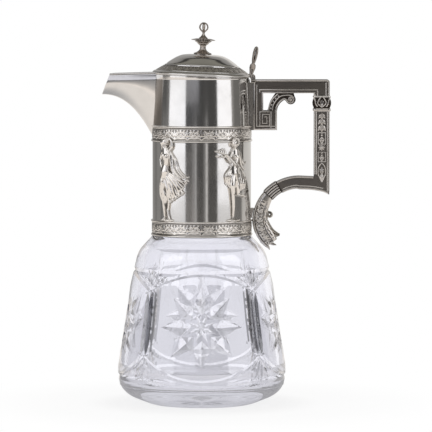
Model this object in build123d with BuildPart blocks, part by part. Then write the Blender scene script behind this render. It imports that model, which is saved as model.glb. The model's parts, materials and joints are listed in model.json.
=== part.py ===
from build123d import *
import os
from math import cos, pi, radians, sin

os.makedirs("parts", exist_ok=True)

# A claret jug: a cut-glass bottle with a silver-plated mount cemented over its neck.
# +Z is up, the handle is on +X and the spout on -X. The origin is the centre of the foot.
# All lengths are millimetres and all angles are degrees.

# ---------------------------------------------------------------- driving sizes
# glass bottle
foot_radius = 38.0
heel_radius = 50.0
heel_height = 4.7
belly_radius = 63.9
belly_height = 26.0
shoulder_radius = 50.6
shoulder_drop = 22.7  # lower band's underside to the top of the straight side
glass_height = 128.2  # foot to the underside of the lower band
glass_wall = 6.0
base_thickness = 13.0
neck_wall = 4.0
cement_gap = 3.4  # plaster between the glass neck and the sleeve

# cutting of the glass: on each panel a star stands between two bowed grooves, with an
# upright flute along each edge; a fan springs from each node, where the grooves meet
cut_panels = 4
cut_land = 0.6  # plain glass left between two cuts
upper_node_drop = 15.0  # below the top of the straight side
upper_bow = 13.5
lower_node_rise = 13.5  # above the widest part
lower_bow = 18.0
groove_width = 3.9
groove_depth = 1.0
star_rays = 8
star_radius = 31.3
star_heart = 9.4  # radius inside which the rays leave the glass plain
star_drop = 2.8  # below the middle between the nodes
star_depth = 1.8
flute_width = 4.1
flute_depth = 1.2
fan_rays = 5
fan_spread = 84.0
fan_length = 18.0
fan_width = 2.9
fan_depth = 0.9

# silver-plated neck mount
sheet = 0.9  # plate thickness
sleeve_radius = 37.35
lower_band_height = 12.0
lower_band_proud = 0.55
upper_band_height = 12.5
upper_band_proud = 0.4
wire_radius = 0.75  # half-round wire along each band's edges
sleeve_height = 59.3  # plain tube between the two bands
collar_height = 34.8
collar_step = 0.15  # the collar's foot stands in from the sleeve
collar_taper = 1.4  # radius lost from the collar's foot to its top
throat_thickness = 2.0

# seam between the rim and the lid, which leans down towards the hinge
seam_rise = 2.6  # above the collar, on the axis
seam_tilt = 2.5
lid_gap = 0.3

# spout
spout_length = 38.4  # collar to the lower lip
spout_half_width = 10.5  # at the collar
mouth_half_width = 6.6
spout_lip_drop = 11.8  # collar top to the lower lip
spout_top_drop = 0.9  # how much the upper edge falls from the collar to the mouth
mouth_slant = 5.6  # lower lip stands this much further out than the upper edge
spout_root_depth = 47.5  # upper edge to the keel at the collar
strip_height = 4.2  # upright strip along the spout's upper edge

# lid
flange_overhang = 1.7  # past the collar's top
flange_thickness = 2.3
flange_width = 3.1
frieze_width = 6.8
frieze_rise = 4.2
dome_side_width = 9.8
dome_shoulder_drop = 2.0
dome_height = 16.0
bezel_depth = 2.2
bezel_clearance = 0.6
tongue_thickness = 1.0

# finial, measured up from the top of the dome
finial_foot_radius = 6.6
finial_stem_radius = 2.0
finial_disc_height = 11.0
finial_disc_radius = 9.1
finial_disc_thickness = 1.6
finial_lobes = 8
finial_cone_radius = 3.3
finial_cone_height = 4.6
bud_radius = 3.6
bud_height = 7.8
bud_strap_width = 1.9
bud_strap = 1.0  # thickness of each strap
bud_loops = 2
stud_radius = 1.5
nut_across = 6.0
nut_height = 2.6

# hinge and thumbpiece
hinge_offset = 1.1  # pin outside the flange's edge
hinge_rise = 0.4  # pin above the seam plane
knuckle_radius = 2.15
pin_radius = 0.8
pin_play = 0.05
hinge_width = 14.0
lid_knuckle_width = 6.0
knuckle_gap = 0.3
thumb_length = 22.0
thumb_lean = 11.5
thumb_depth = 4.2
thumb_foot_width = 6.0
thumb_top_width = 12.5
thumb_wall = 1.1
opening_angle = 76.0  # the thumbpiece then rests on the handle

# handle
bar = 10.4  # height of the top rail
leg_width = 7.6
grip_width = 12.0
handle_depth = 9.6  # along Y
handle_span = 58.0
handle_drop = 0.5  # below the collar's top
back_plate = 1.1  # least thickness of the plate between the mount and the handle
key_block_width = 18.0
key_block_height = 14.9
key_block_drop = 38.3  # handle top to the block's underside
corner_drop = 12.3  # handle top to the calyx
arm_rise = 14.2  # the arm's crest above the grip's lower corner
arm_radius = 35.8
arm_drop = 2.8  # the arch's centre below the top of the lower band
arm_thickness = 10.2
arm_shoulder = 8.8  # thickness of the arm where the clasp grips it
arm_bite = 0.4  # how far the arm is let in to the lower band's wire
corner_radius = 2.3
panel_depth = 0.7  # sunk panels in the bar's faces
panel_border = 1.7
calyx_height = 12.2
calyx_proud = 1.3
clasp_reeds = 5
reed_proud = 0.4
leaf_width = 12.0
leaf_clearance = 0.6  # between the leaf and the bottle's shoulder

# figures
figure_height = 61.0

# ---------------------------------------------------------------- shared values
shoulder_height = glass_height - shoulder_drop
upper_node = shoulder_height - upper_node_drop
lower_node = belly_height + lower_node_rise
lower_band_base = glass_height
sleeve_base = lower_band_base + lower_band_height
upper_band_base = sleeve_base + sleeve_height
collar_base = upper_band_base + upper_band_height
collar_top = collar_base + collar_height
collar_base_radius = sleeve_radius - collar_step
collar_top_radius = collar_base_radius - collar_taper
seam_height = collar_top + seam_rise
lower_band_radius = sleeve_radius + lower_band_proud
upper_band_radius = sleeve_radius + upper_band_proud
neck_radius = sleeve_radius - sheet - cement_gap
neck_bore = neck_radius - neck_wall
spout_reach = collar_base_radius + spout_length
spout_lip_height = collar_top - spout_lip_drop
flange_radius = collar_top_radius + flange_overhang
frieze_outer_radius = flange_radius - flange_width
frieze_inner_radius = frieze_outer_radius - frieze_width
dome_shoulder_radius = frieze_inner_radius - dome_side_width
hinge_x = flange_radius + hinge_offset
handle_back = lower_band_radius + back_plate
handle_reach = handle_back + handle_span
handle_top = collar_top - handle_drop
key_block_bottom = handle_top - key_block_drop
key_block_top = key_block_bottom + key_block_height
calyx_top = handle_top - corner_drop
arm_top = sleeve_base - arm_drop + arm_radius
grip_bottom = arm_top - arm_rise

tilt = radians(seam_tilt)
lid_up = Vector(sin(tilt), 0, cos(tilt))
lid_along = Vector(cos(tilt), 0, -sin(tilt))
seam_point = Vector(0, 0, seam_height)
lid_axis = Axis(seam_point, lid_up)
seam_plane = Plane(origin=seam_point, x_dir=lid_along, z_dir=lid_up)
lid_section = Plane(origin=seam_point, x_dir=lid_along, z_dir=(0, -1, 0))
hinge_point = seam_point + lid_along * hinge_x + lid_up * hinge_rise


def seam_z(x):
    """Height of the seam plane above the point x on the jug's centre plane."""
    return seam_height - x * sin(tilt) / cos(tilt)


def save(piece, name):
    piece.part.label = name
    export_step(piece.part, f"parts/{name}.step")


# Everything inside the mount's outer surface, for trimming what is soldered to it.
with BuildPart() as mount_envelope:
    with BuildSketch(Plane.XZ):
        Polygon(
            (0, glass_height),
            (lower_band_radius, glass_height),
            (lower_band_radius, sleeve_base),
            (sleeve_radius, sleeve_base),
            (sleeve_radius, upper_band_base),
            (upper_band_radius, upper_band_base),
            (upper_band_radius, collar_base),
            (collar_base_radius, collar_base),
            (collar_top_radius, collar_top),
            (collar_top_radius, seam_height + bar),
            (0, seam_height + bar),
            align=None,
        )
    revolve(axis=Axis.Z)

# ---------------------------------------------------------------- glass bottle
# One panel's width is turned and cut, and the pattern is repeated round the bottle. The
# pieces meet where only the bowed grooves cross the joint.
panel_turn = 360 / cut_panels
joint_turn = 0.37 * panel_turn  # from the middle of a panel
with BuildPart() as glass_quarter:
    with BuildSketch(Plane.XZ.rotated((0, 0, -90 + joint_turn - panel_turn))):
        with BuildLine():
            foot = Line((0, 0), (foot_radius, 0))
            bevel = Line(foot @ 1, (heel_radius, heel_height))
            heel = Spline(
                bevel @ 1,
                (belly_radius, belly_height),
                tangents=[(heel_radius - foot_radius, heel_height), (-0.02, 1)],
            )
            cone = Line(heel @ 1, (shoulder_radius, shoulder_height))
            shoulder = Spline(
                cone @ 1,
                (lower_band_radius - 0.4, glass_height),
                tangents=[cone % 1, (-1, 0.7)],
                tangent_scalars=(1.0, 1.0),
            )
            ledge = Line(shoulder @ 1, (neck_radius, glass_height))
            neck_outside = Line(ledge @ 1, (neck_radius, upper_band_base))
            lip = Line(neck_outside @ 1, (neck_bore, upper_band_base))
            neck_inside = Line(lip @ 1, (neck_bore, glass_height))
            inner_shoulder = Spline(
                neck_inside @ 1,
                (shoulder_radius - glass_wall, shoulder_height - glass_wall),
                tangents=[(0.35, -1), Vector(0, 0) - (cone % 1)],
                tangent_scalars=(0.8, 0.8),
            )
            inner_cone = Line(inner_shoulder @ 1, (belly_radius - glass_wall - 1, belly_height + 2))
            inner_heel = Spline(
                inner_cone @ 1,
                (heel_radius - glass_wall, base_thickness),
                tangents=[inner_cone % 1, (-1, 0)],
            )
            floor = Line(inner_heel @ 1, (0, base_thickness))
            Line(floor @ 1, foot @ 0)
        make_face()
    revolve(axis=Axis.Z, revolution_arc=panel_turn)

flat_radius = (belly_radius + shoulder_radius) / 2
panel_edge = radians(panel_turn / 2) * flat_radius


def glass_point(across, height, proud=0.0):
    """A point of the front panel's surface; across is measured round it from its middle."""
    rise = max(0, (height - belly_height) / (shoulder_height - belly_height))
    radius = belly_radius + (shoulder_radius - belly_radius) * rise + proud
    turn = across / flat_radius - pi / 2
    return Vector(radius * cos(turn), radius * sin(turn), height)


def mitre_cut(rim, keel):
    """A cutter whose four flat sides rise from points of its keel through the sides of its rim."""
    diagonal = rim[2] - rim[0]
    along = diagonal.normalized()
    out = Vector(keel[0].X, keel[0].Y, 0)
    out = (out - along * out.dot(along)).normalized()
    with BuildPart() as block:
        with Locations(Plane(origin=keel[0], x_dir=along, z_dir=out)):
            Box(
                4 * diagonal.length,
                2 * diagonal.length,
                4 * star_depth,
                align=(Align.CENTER, Align.CENTER, Align.MIN),
            )
        for side in range(4):
            first, second = rim[side] - keel[side], rim[(side + 1) % 4] - keel[side]
            split(bisect_by=Plane(origin=keel[side], z_dir=first.cross(second)), keep=Keep.TOP)
    return block.part


def kite_cut(across, height, turn, reach, width, depth):
    """A pointed cut that lies away from a centre by turn; reach gives its start, widest place and end."""

    def place(out, aside, proud=0.0):
        round_panel = across + out * sin(turn) + aside * cos(turn)
        return glass_point(round_panel, height + out * cos(turn) - aside * sin(turn), proud)

    start, widest, end = reach
    rim = [place(start, 0), place(widest, width / 2), place(end, 0), place(widest, -width / 2)]
    return mitre_cut(rim, [place(widest, 0, -depth)] * 4)


def flute_cut(across, low, high):
    """An upright flute with a mitre at both ends."""
    half = flute_width / 2
    corners = ((-half, low), (half, low), (half, high), (-half, high))
    rim = [glass_point(across + aside, height) for aside, height in corners]
    foot_keel = glass_point(across, low + half, -flute_depth)
    head_keel = glass_point(across, high - half, -flute_depth)
    return mitre_cut(rim, [foot_keel, foot_keel, head_keel, head_keel])


def bowed_groove(node, bow):
    """A V groove that bows from node to node across a panel and fades out just past them."""
    sections = []
    for share in (-1.06, -0.98, -0.74, -0.5, -0.25, 0, 0.25, 0.5, 0.74, 0.98, 1.06):
        across = share * panel_edge
        height = node + bow * (1 - share**2)
        centre = glass_point(across, height, 1.6 * groove_depth if abs(share) > 1 else 0)
        ahead = glass_point(across + 1, height - 2 * bow * share / panel_edge)
        out = Vector(centre.X, centre.Y, 0)
        with BuildSketch(Plane(origin=centre, x_dir=out, z_dir=ahead - centre)) as section:
            Polygon(
                (-groove_depth, 0), (groove_depth, groove_width), (groove_depth, -groove_width), align=None
            )
        sections.append(section.sketch)
    with BuildPart() as groove:
        loft(sections)
    return groove.part


glass_cuts = []
for node, bow in ((upper_node, upper_bow), (lower_node, -lower_bow)):
    groove = bowed_groove(node, bow)
    glass_cuts += [groove, groove.rotate(Axis.Z, -panel_turn)]

# The long rays of an eight-pointed star: each is widest at the notches beside it.
ray_step = 2 * pi / star_rays
star_height = (upper_node + lower_node) / 2 - star_drop
notch_radius = star_radius * cos(1.5 * ray_step) / cos(ray_step)
ray_reach = (star_heart, notch_radius * cos(ray_step / 2), star_radius)
ray_width = 2 * notch_radius * sin(ray_step / 2) - cut_land
for ray in range(star_rays):
    glass_cuts.append(kite_cut(0, star_height, ray * ray_step, ray_reach, ray_width, star_depth))

for side in (-1, 1):
    flute_middle = -panel_edge + side * (flute_width + cut_land) / 2
    glass_cuts.append(flute_cut(flute_middle, lower_node + groove_width, upper_node - groove_width))

for node, upright in ((upper_node, 0), (lower_node, pi)):
    for ray in range(fan_rays):
        turn = radians(fan_spread) * (ray / (fan_rays - 1) - 0.5)
        length = fan_length * (1 - 0.3 * abs(turn))
        fan_reach = (groove_width / 2, 0.45 * length, length)
        glass_cuts.append(kite_cut(-panel_edge, node, upright + turn, fan_reach, fan_width, fan_depth))

with BuildPart() as cut_quarter:
    add(glass_quarter.part)
    add(glass_cuts, mode=Mode.SUBTRACT)

with BuildPart() as glass_body:
    for panel in range(cut_panels):
        add(cut_quarter.part.rotate(Axis.Z, panel * panel_turn))
save(glass_body, "glass_body")

# ---------------------------------------------------------------- neck mount
with BuildPart() as plaster_lining:
    with BuildSketch(Plane.XZ):
        with Locations((neck_radius, glass_height)):
            Rectangle(cement_gap, upper_band_base - glass_height, align=(Align.MIN, Align.MIN))
    revolve(axis=Axis.Z)
save(plaster_lining, "plaster_lining")

# The plain tube runs from the glass shoulder to the collar, behind both bands.
with BuildPart() as neck_sleeve:
    with BuildSketch(Plane.XZ):
        with Locations((sleeve_radius - sheet, glass_height)):
            Rectangle(sheet, collar_base - glass_height, align=(Align.MIN, Align.MIN))
    revolve(axis=Axis.Z)
save(neck_sleeve, "neck_sleeve")

with BuildPart() as throat_ring:
    with BuildSketch(Plane.XZ):
        with Locations((neck_bore, upper_band_base)):
            Rectangle(
                sleeve_radius - sheet - neck_bore, throat_thickness, align=(Align.MIN, Align.MIN)
            )
    revolve(axis=Axis.Z)
    chamfer(throat_ring.edges().sort_by(Axis.Z)[-1:], throat_thickness / 2)
save(throat_ring, "throat_ring")


def band_wire(radius, z, up):
    """A half-round wire soldered along one edge of a band; up is 1 or -1."""
    with BuildPart() as wire:
        with BuildSketch(Plane.XZ):
            with Locations((radius, z + up * wire_radius)):
                Circle(wire_radius)
            with Locations((radius - wire_radius, z + up * wire_radius)):
                Rectangle(2 * wire_radius, 2 * wire_radius, mode=Mode.SUBTRACT)
        revolve(axis=Axis.Z)
    return wire


def band_frieze(radius, proud, base, height):
    """A broad ring with a shallow cushion between its two edge wires."""
    with BuildPart() as band:
        with BuildSketch(Plane.XZ):
            with BuildLine():
                back = Line((radius - proud, base), (radius - proud, base + height))
                top = Line(back @ 1, (radius, base + height))
                cushion = Line(top @ 1, (radius, base))
                Line(cushion @ 1, back @ 0)
            make_face()
        revolve(axis=Axis.Z)
    return band


lower_band = band_frieze(lower_band_radius, lower_band_proud, lower_band_base, lower_band_height)
save(lower_band, "lower_band")
upper_band = band_frieze(upper_band_radius, upper_band_proud, upper_band_base, upper_band_height)
save(upper_band, "upper_band")

lower_band_bottom_wire = band_wire(lower_band_radius, lower_band_base, 1)
save(lower_band_bottom_wire, "lower_band_bottom_wire")
lower_band_top_wire = band_wire(lower_band_radius, sleeve_base, -1)
save(lower_band_top_wire, "lower_band_top_wire")
upper_band_bottom_wire = band_wire(upper_band_radius, upper_band_base, 1)
save(upper_band_bottom_wire, "upper_band_bottom_wire")
upper_band_top_wire = band_wire(upper_band_radius, collar_base, -1)
save(upper_band_top_wire, "upper_band_top_wire")

# ---------------------------------------------------------------- spout


def spout_station(share):
    """Upper point and keel point of a section; share is 0 at the collar and 1 at the mouth."""
    inner_x = -collar_top_radius
    outer_x = -(spout_reach - mouth_slant)
    top = Vector(inner_x + (outer_x - inner_x) * share, 0, 0)
    top.Z = seam_z(inner_x) - lid_gap - spout_top_drop * share
    root = Vector(-collar_base_radius, 0, top.Z - spout_root_depth)
    lip = Vector(-spout_reach, 0, spout_lip_height)
    swoop = 1 - (1 - share) ** 2.3
    keel_x = root.X + (lip.X - root.X) * share
    keel_z = root.Z + (lip.Z - root.Z) * swoop
    return top, Vector(keel_x, 0, keel_z)


def spout_solid(inset, stretch):
    """The spout as a closed loft, its skin moved in by inset; stretch lengthens both ends."""
    shares = [0, 0.22, 0.5, 0.78, 1]
    with BuildPart() as form:
        for share in shares:
            top, keel = spout_station(share)
            if stretch and share == 0:
                top = top + Vector(stretch * 3, 0, 0)
                keel = keel + Vector(stretch * 3, 0, 0)
            if stretch and share == 1:
                top = top - Vector(stretch, 0, 0)
                keel = keel - Vector(stretch, 0, 0)
            half = spout_half_width + (mouth_half_width - spout_half_width) * share - inset
            down = (keel - top).normalized()
            depth = (keel - top).length - inset
            start = -stretch
            plane = Plane(origin=top, x_dir=(0, 1, 0), z_dir=Vector(0, 1, 0).cross(down))
            side = 1 if plane.to_local_coords(keel).Y > 0 else -1
            with BuildSketch(plane):
                with BuildLine():
                    ridge = Line((half, side * start), (-half, side * start))
                    left = Line(ridge @ 1, (-half, side * strip_height))
                    keel_curve = Spline(
                        left @ 1,
                        (0, side * depth),
                        (half, side * strip_height),
                        tangents=[(0, side), (0, -side)],
                        tangent_scalars=(1.1, 1.1),
                    )
                    Line(keel_curve @ 1, ridge @ 0)
                make_face()
        loft()
    return form.part


spout_outside = spout_solid(0, 0)
spout_inside = spout_solid(sheet, 2.0)

with BuildPart() as spout:
    add(spout_outside)
    add(spout_inside, mode=Mode.SUBTRACT)
    add(mount_envelope.part, mode=Mode.SUBTRACT)
    add(upper_band_top_wire.part, mode=Mode.SUBTRACT)
save(spout, "spout")

# ---------------------------------------------------------------- collar and rim
with BuildPart() as collar:
    with BuildSketch(Plane.XZ):
        Polygon(
            (collar_base_radius - sheet, collar_base),
            (collar_base_radius, collar_base),
            (collar_top_radius, collar_top),
            (collar_top_radius - sheet, collar_top),
            align=None,
        )
    revolve(axis=Axis.Z)
    add(spout_inside, mode=Mode.SUBTRACT)
save(collar, "collar")

# A wedge of plain plate: level below, cut off above by the leaning seam.
rim_height = seam_z(-collar_top_radius) - collar_top
with BuildPart() as collar_rim:
    with BuildSketch(Plane.XZ):
        with Locations((collar_top_radius - sheet, collar_top)):
            Rectangle(sheet, 2 * rim_height, align=(Align.MIN, Align.MIN))
    revolve(axis=Axis.Z)
    split(bisect_by=seam_plane.offset(-lid_gap), keep=Keep.BOTTOM)
    add(spout_inside, mode=Mode.SUBTRACT)
save(collar_rim, "collar_rim")

# ---------------------------------------------------------------- lid
hinge_section = Plane(origin=hinge_point, x_dir=(1, 0, 0), z_dir=(0, -1, 0))
with BuildPart() as hinge_notch:
    with BuildSketch(hinge_section):
        Circle(knuckle_radius + knuckle_gap)
    extrude(amount=hinge_width / 2 + knuckle_gap, both=True)

with BuildPart() as lid_flange:
    with BuildSketch(lid_section):
        with BuildLine():
            under = Line((frieze_outer_radius - sheet, 0), (flange_radius - sheet, 0))
            edge = ThreePointArc(
                under @ 1,
                (flange_radius, flange_thickness / 2),
                (flange_radius - sheet, flange_thickness),
            )
            step = Line(edge @ 1, (frieze_outer_radius, flange_thickness))
            fillet_side = Line(step @ 1, (frieze_outer_radius, flange_thickness + sheet))
            top = Line(fillet_side @ 1, (frieze_outer_radius - sheet, flange_thickness + sheet))
            Line(top @ 1, under @ 0)
        make_face()
    revolve(axis=lid_axis)
    add(hinge_notch.part, mode=Mode.SUBTRACT)
save(lid_flange, "lid_flange")

frieze_base = flange_thickness + sheet
frieze_top = frieze_base + frieze_rise
with BuildPart() as lid_frieze:
    with BuildSketch(lid_section):
        Polygon(
            (frieze_outer_radius, frieze_base),
            (frieze_inner_radius, frieze_top),
            (frieze_inner_radius, frieze_top - 1.3 * sheet),
            (frieze_outer_radius - 2 * sheet, frieze_base),
            align=None,
        )
    revolve(axis=lid_axis)
save(lid_frieze, "lid_frieze")

with BuildPart() as lid_dome:
    with BuildSketch(lid_section):
        with BuildLine():
            outer = Spline(
                (frieze_inner_radius, frieze_top),
                (dome_shoulder_radius, dome_height - dome_shoulder_drop),
                (finial_foot_radius, dome_height),
                tangents=[(-0.25, 1), (-1, 0)],
            )
            seat = Line(outer @ 1, (stud_radius, dome_height))
            hole = Line(seat @ 1, (stud_radius, dome_height - sheet))
            nut_seat = Line(hole @ 1, (finial_foot_radius, dome_height - sheet))
            inner = Spline(
                nut_seat @ 1,
                (dome_shoulder_radius - sheet / 2, dome_height - dome_shoulder_drop - sheet),
                (frieze_inner_radius - sheet, frieze_top - 1.3 * sheet),
                tangents=[(1, 0), (0.25, -1)],
            )
            lower = Line(inner @ 1, (frieze_inner_radius, frieze_top - 1.3 * sheet))
            Line(lower @ 1, outer @ 0)
        make_face()
    revolve(axis=lid_axis)
save(lid_dome, "lid_dome")

bezel_radius = collar_top_radius - sheet - bezel_clearance
with BuildPart() as lid_bezel:
    with BuildSketch(lid_section):
        with Locations((bezel_radius - sheet, -bezel_depth)):
            Rectangle(sheet, bezel_depth, align=(Align.MIN, Align.MIN))
    revolve(axis=lid_axis)
    add(spout_inside, mode=Mode.SUBTRACT)
save(lid_bezel, "lid_bezel")

# The tongue covers the spout, a hair above its upper edge.
tongue_root = spout_station(0)[0]
tongue_tip = spout_station(1)[0]
with BuildPart() as lid_tongue:
    with BuildSketch(Plane.XZ):
        Polygon(
            (-flange_radius + 4 * sheet, tongue_root.Z + lid_gap),
            (-flange_radius + 4 * sheet, tongue_root.Z + lid_gap + tongue_thickness),
            (tongue_tip.X, tongue_tip.Z + lid_gap + tongue_thickness),
            (tongue_tip.X, tongue_tip.Z + lid_gap),
            align=None,
        )
    extrude(amount=2 * spout_half_width, both=True)
    with BuildSketch(Plane.XY):
        Polygon(
            (0, spout_half_width * 1.35),
            (tongue_tip.X, mouth_half_width),
            (tongue_tip.X, -mouth_half_width),
            (0, -spout_half_width * 1.35),
            align=None,
        )
    extrude(amount=2 * seam_height, mode=Mode.INTERSECT)
    with BuildSketch(seam_plane.offset(-dome_height)):
        Circle(flange_radius)
    extrude(amount=2 * dome_height, mode=Mode.SUBTRACT)
save(lid_tongue, "lid_tongue")

# ---------------------------------------------------------------- finial
stud_end = dome_height - sheet - nut_height - 1
with BuildPart() as finial_stem:
    with BuildSketch(lid_section):
        with BuildLine():
            stud = Line((0, stud_end), (stud_radius, stud_end))
            shank = Line(stud @ 1, (stud_radius, dome_height))
            seat = Line(shank @ 1, (finial_foot_radius, dome_height))
            flare = Spline(
                seat @ 1,
                (finial_stem_radius, dome_height + 3.0),
                tangents=[(-1, 0.35), (0, 1)],
            )
            shaft = Line(flare @ 1, (finial_stem_radius, dome_height + 6.4))
            bulb = Spline(
                shaft @ 1,
                (3.4, dome_height + 8.6),
                (2.4, dome_height + finial_disc_height - finial_disc_thickness / 2),
                tangents=[(0.5, 1), (-0.2, 1)],
            )
            cap = Line(bulb @ 1, (0, dome_height + finial_disc_height - finial_disc_thickness / 2))
            Line(cap @ 1, stud @ 0)
        make_face()
    revolve(axis=lid_axis)
save(finial_stem, "finial_stem")

disc_base = dome_height + finial_disc_height - finial_disc_thickness / 2
with BuildPart() as finial_disc:
    with BuildSketch(lid_section):
        Polygon(
            (0, disc_base),
            (finial_disc_radius * 0.55, disc_base),
            (finial_disc_radius, disc_base + finial_disc_thickness * 0.55),
            (finial_disc_radius * 0.4, disc_base + finial_disc_thickness),
            (0, disc_base + finial_disc_thickness),
            align=None,
        )
    revolve(axis=lid_axis)
    with BuildSketch(seam_plane.offset(disc_base - 1)):
        with PolarLocations(finial_disc_radius * 1.22, finial_lobes, start_angle=180 / finial_lobes):
            Circle(finial_disc_radius * 0.3)
    extrude(amount=finial_disc_thickness + 2, mode=Mode.SUBTRACT)
save(finial_disc, "finial_disc")

cone_base = disc_base + finial_disc_thickness
neck_height = cone_base + finial_cone_height
with BuildPart() as finial_cone:
    with BuildSketch(lid_section):
        with BuildLine():
            seat = Line((0, cone_base), (finial_cone_radius, cone_base))
            side = Spline(
                seat @ 1,
                (1.2, neck_height - 1.2),
                (1.6, neck_height),
                tangents=[(-0.6, 1), (0.6, 1)],
            )
            cap = Line(side @ 1, (0, neck_height))
            Line(cap @ 1, seat @ 0)
        make_face()
    revolve(axis=lid_axis)
save(finial_cone, "finial_cone")

# An openwork bud: two flat loops cross at right angles on a small foot.
with BuildPart() as finial_bud:
    for turn in range(bud_loops):
        azimuth = pi / 4 + pi / bud_loops * turn
        across = lid_along * cos(azimuth) + Vector(0, 1, 0) * sin(azimuth)
        with BuildSketch(Plane(origin=seam_point, x_dir=across, z_dir=across.cross(lid_up))):
            for inset, loop_mode in ((0, Mode.ADD), (bud_strap, Mode.SUBTRACT)):
                with BuildLine():
                    side = Spline(
                        (0, neck_height + inset),
                        (bud_radius - inset, neck_height + bud_height * 0.42),
                        (0, neck_height + bud_height - 1.6 * inset),
                        tangents=[(1, 0.2), (-0.5, 1)],
                    )
                    mirror(side, about=Plane.YZ)
                make_face(mode=loop_mode)
        extrude(amount=bud_strap_width / 2, both=True)
    with BuildSketch(seam_plane.offset(neck_height)):
        Circle(bud_strap_width * 0.8)
    extrude(amount=bud_strap)
save(finial_bud, "finial_bud")

with BuildPart() as finial_nut:
    with BuildSketch(seam_plane.offset(dome_height - sheet - nut_height)):
        RegularPolygon(nut_across / 2, 6, major_radius=False)
        Circle(stud_radius, mode=Mode.SUBTRACT)
    extrude(amount=nut_height)
save(finial_nut, "finial_nut")

# ---------------------------------------------------------------- hinge
bore_radius = pin_radius + pin_play
ear_width = (hinge_width - lid_knuckle_width) / 2 - knuckle_gap

with BuildPart() as hinge_pin:
    with BuildSketch(hinge_section):
        Circle(pin_radius)
    extrude(amount=hinge_width / 2, both=True)
    chamfer(hinge_pin.edges().filter_by(GeomType.CIRCLE), 0.2)
save(hinge_pin, "hinge_pin")

# The centre knuckle belongs to the lid, with a short leaf that reaches the flange.
with BuildPart() as lid_knuckle:
    with BuildSketch(hinge_section):
        Circle(knuckle_radius)
        Polygon(
            (0, -hinge_rise + lid_gap / 2),
            (0, knuckle_radius),
            (-knuckle_radius, flange_thickness - hinge_rise),
            (flange_radius - hinge_x - sheet - 1, flange_thickness - hinge_rise),
            (flange_radius - hinge_x - sheet - 1, -hinge_rise + lid_gap / 2),
            align=None,
        )
        Circle(bore_radius, mode=Mode.SUBTRACT)
    extrude(amount=lid_knuckle_width / 2, both=True)
    add(lid_flange.part, mode=Mode.SUBTRACT)
save(lid_knuckle, "lid_knuckle")

# Two ears on a block carry the pin; the block is let in to the handle's top.
with BuildPart() as hinge_block:
    with BuildSketch(hinge_section):
        Circle(knuckle_radius)
        with Locations((0, 0)):
            Rectangle(
                2 * knuckle_radius,
                hinge_point.Z - handle_top + corner_radius,
                align=(Align.CENTER, Align.MAX),
            )
        Circle(bore_radius, mode=Mode.SUBTRACT)
    extrude(amount=hinge_width / 2, both=True)
    with BuildSketch(hinge_section):
        Circle(knuckle_radius + knuckle_gap)
    extrude(amount=lid_knuckle_width / 2 + knuckle_gap, both=True, mode=Mode.SUBTRACT)
    add(mount_envelope.part, mode=Mode.SUBTRACT)
save(hinge_block, "hinge_block")

# The thumbpiece rises from the centre knuckle: a solid stem, then a strip bent into a loop.
lean = radians(thumb_lean)
thumb_up = Vector(sin(lean), 0, cos(lean))
thumb_foot = hinge_point + Vector(-1.2, 0, knuckle_radius - 0.2)
thumb_side = Plane(origin=thumb_foot, x_dir=(cos(lean), 0, -sin(lean)), z_dir=(0, -1, 0))
thumb_face = Plane(origin=thumb_foot, x_dir=(0, 1, 0), z_dir=(cos(lean), 0, -sin(lean)))
loop_base = thumb_length * 0.38
with BuildPart() as thumbpiece:
    with BuildSketch(thumb_side):
        with BuildLine():
            foot = Line((-thumb_depth * 0.3, -1), (thumb_depth * 0.3, -1))
            outer_side = Spline(
                foot @ 1,
                (thumb_depth * 0.5, loop_base),
                (thumb_depth * 0.38, thumb_length - thumb_depth * 0.3),
                (0, thumb_length),
                tangents=[(0, 1), (-1, 0)],
            )
            inner_side = Spline(
                outer_side @ 1,
                (-thumb_depth * 0.42, thumb_length - thumb_depth * 0.4),
                (-thumb_depth * 0.5, loop_base),
                foot @ 0,
                tangents=[(-1, 0), (0, -1)],
            )
        make_face()
        with Locations((0, (thumb_length + loop_base) / 2)):
            SlotOverall(
                thumb_length - loop_base - thumb_wall,
                thumb_depth - 2 * thumb_wall - 0.4,
                rotation=90,
                mode=Mode.SUBTRACT,
            )
    extrude(amount=thumb_top_width / 2, both=True)
    with BuildSketch(thumb_face):
        with BuildLine():
            base = Line((-thumb_foot_width / 2, -1), (thumb_foot_width / 2, -1))
            flare = Spline(
                base @ 1,
                (thumb_foot_width / 2, loop_base * 0.6),
                (thumb_top_width / 2, thumb_length * 0.68),
                (0, thumb_length + 0.2),
                tangents=[(0, 1), (-1, 0)],
            )
            mirror(flare, about=Plane.YZ)
        make_face()
    extrude(amount=thumb_depth, both=True, mode=Mode.INTERSECT)
    with BuildSketch(hinge_section):
        Circle(knuckle_radius)
    extrude(amount=hinge_width / 2 + knuckle_gap, both=True, mode=Mode.SUBTRACT)
    add(lid_knuckle.part, mode=Mode.SUBTRACT)
    add(lid_flange.part, mode=Mode.SUBTRACT)
save(thumbpiece, "thumbpiece")

# ---------------------------------------------------------------- handle
rail_bottom = handle_top - bar
leg_inner = handle_back + leg_width
block_right = handle_back + key_block_width
grip_inner = handle_reach - grip_width
grip_middle = handle_reach - grip_width / 2
calyx_bottom = calyx_top - calyx_height
arm_centre = Vector(lower_band_radius + wire_radius - arm_bite + arm_radius, 0, arm_top - arm_radius)


def arm_point(angle, radius):
    """A point of the lower arm in the XZ sketch, by angle and radius about the arm's centre."""
    turn = radians(angle)
    return (arm_centre.X + radius * cos(turn), arm_centre.Z + radius * sin(turn))


def solder_trim():
    """Takes off what reaches into the mount that the handle is soldered to."""
    add(mount_envelope.part, mode=Mode.SUBTRACT)
    for wire in (lower_band_top_wire, lower_band_bottom_wire, upper_band_top_wire):
        add(wire.part, mode=Mode.SUBTRACT)


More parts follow.
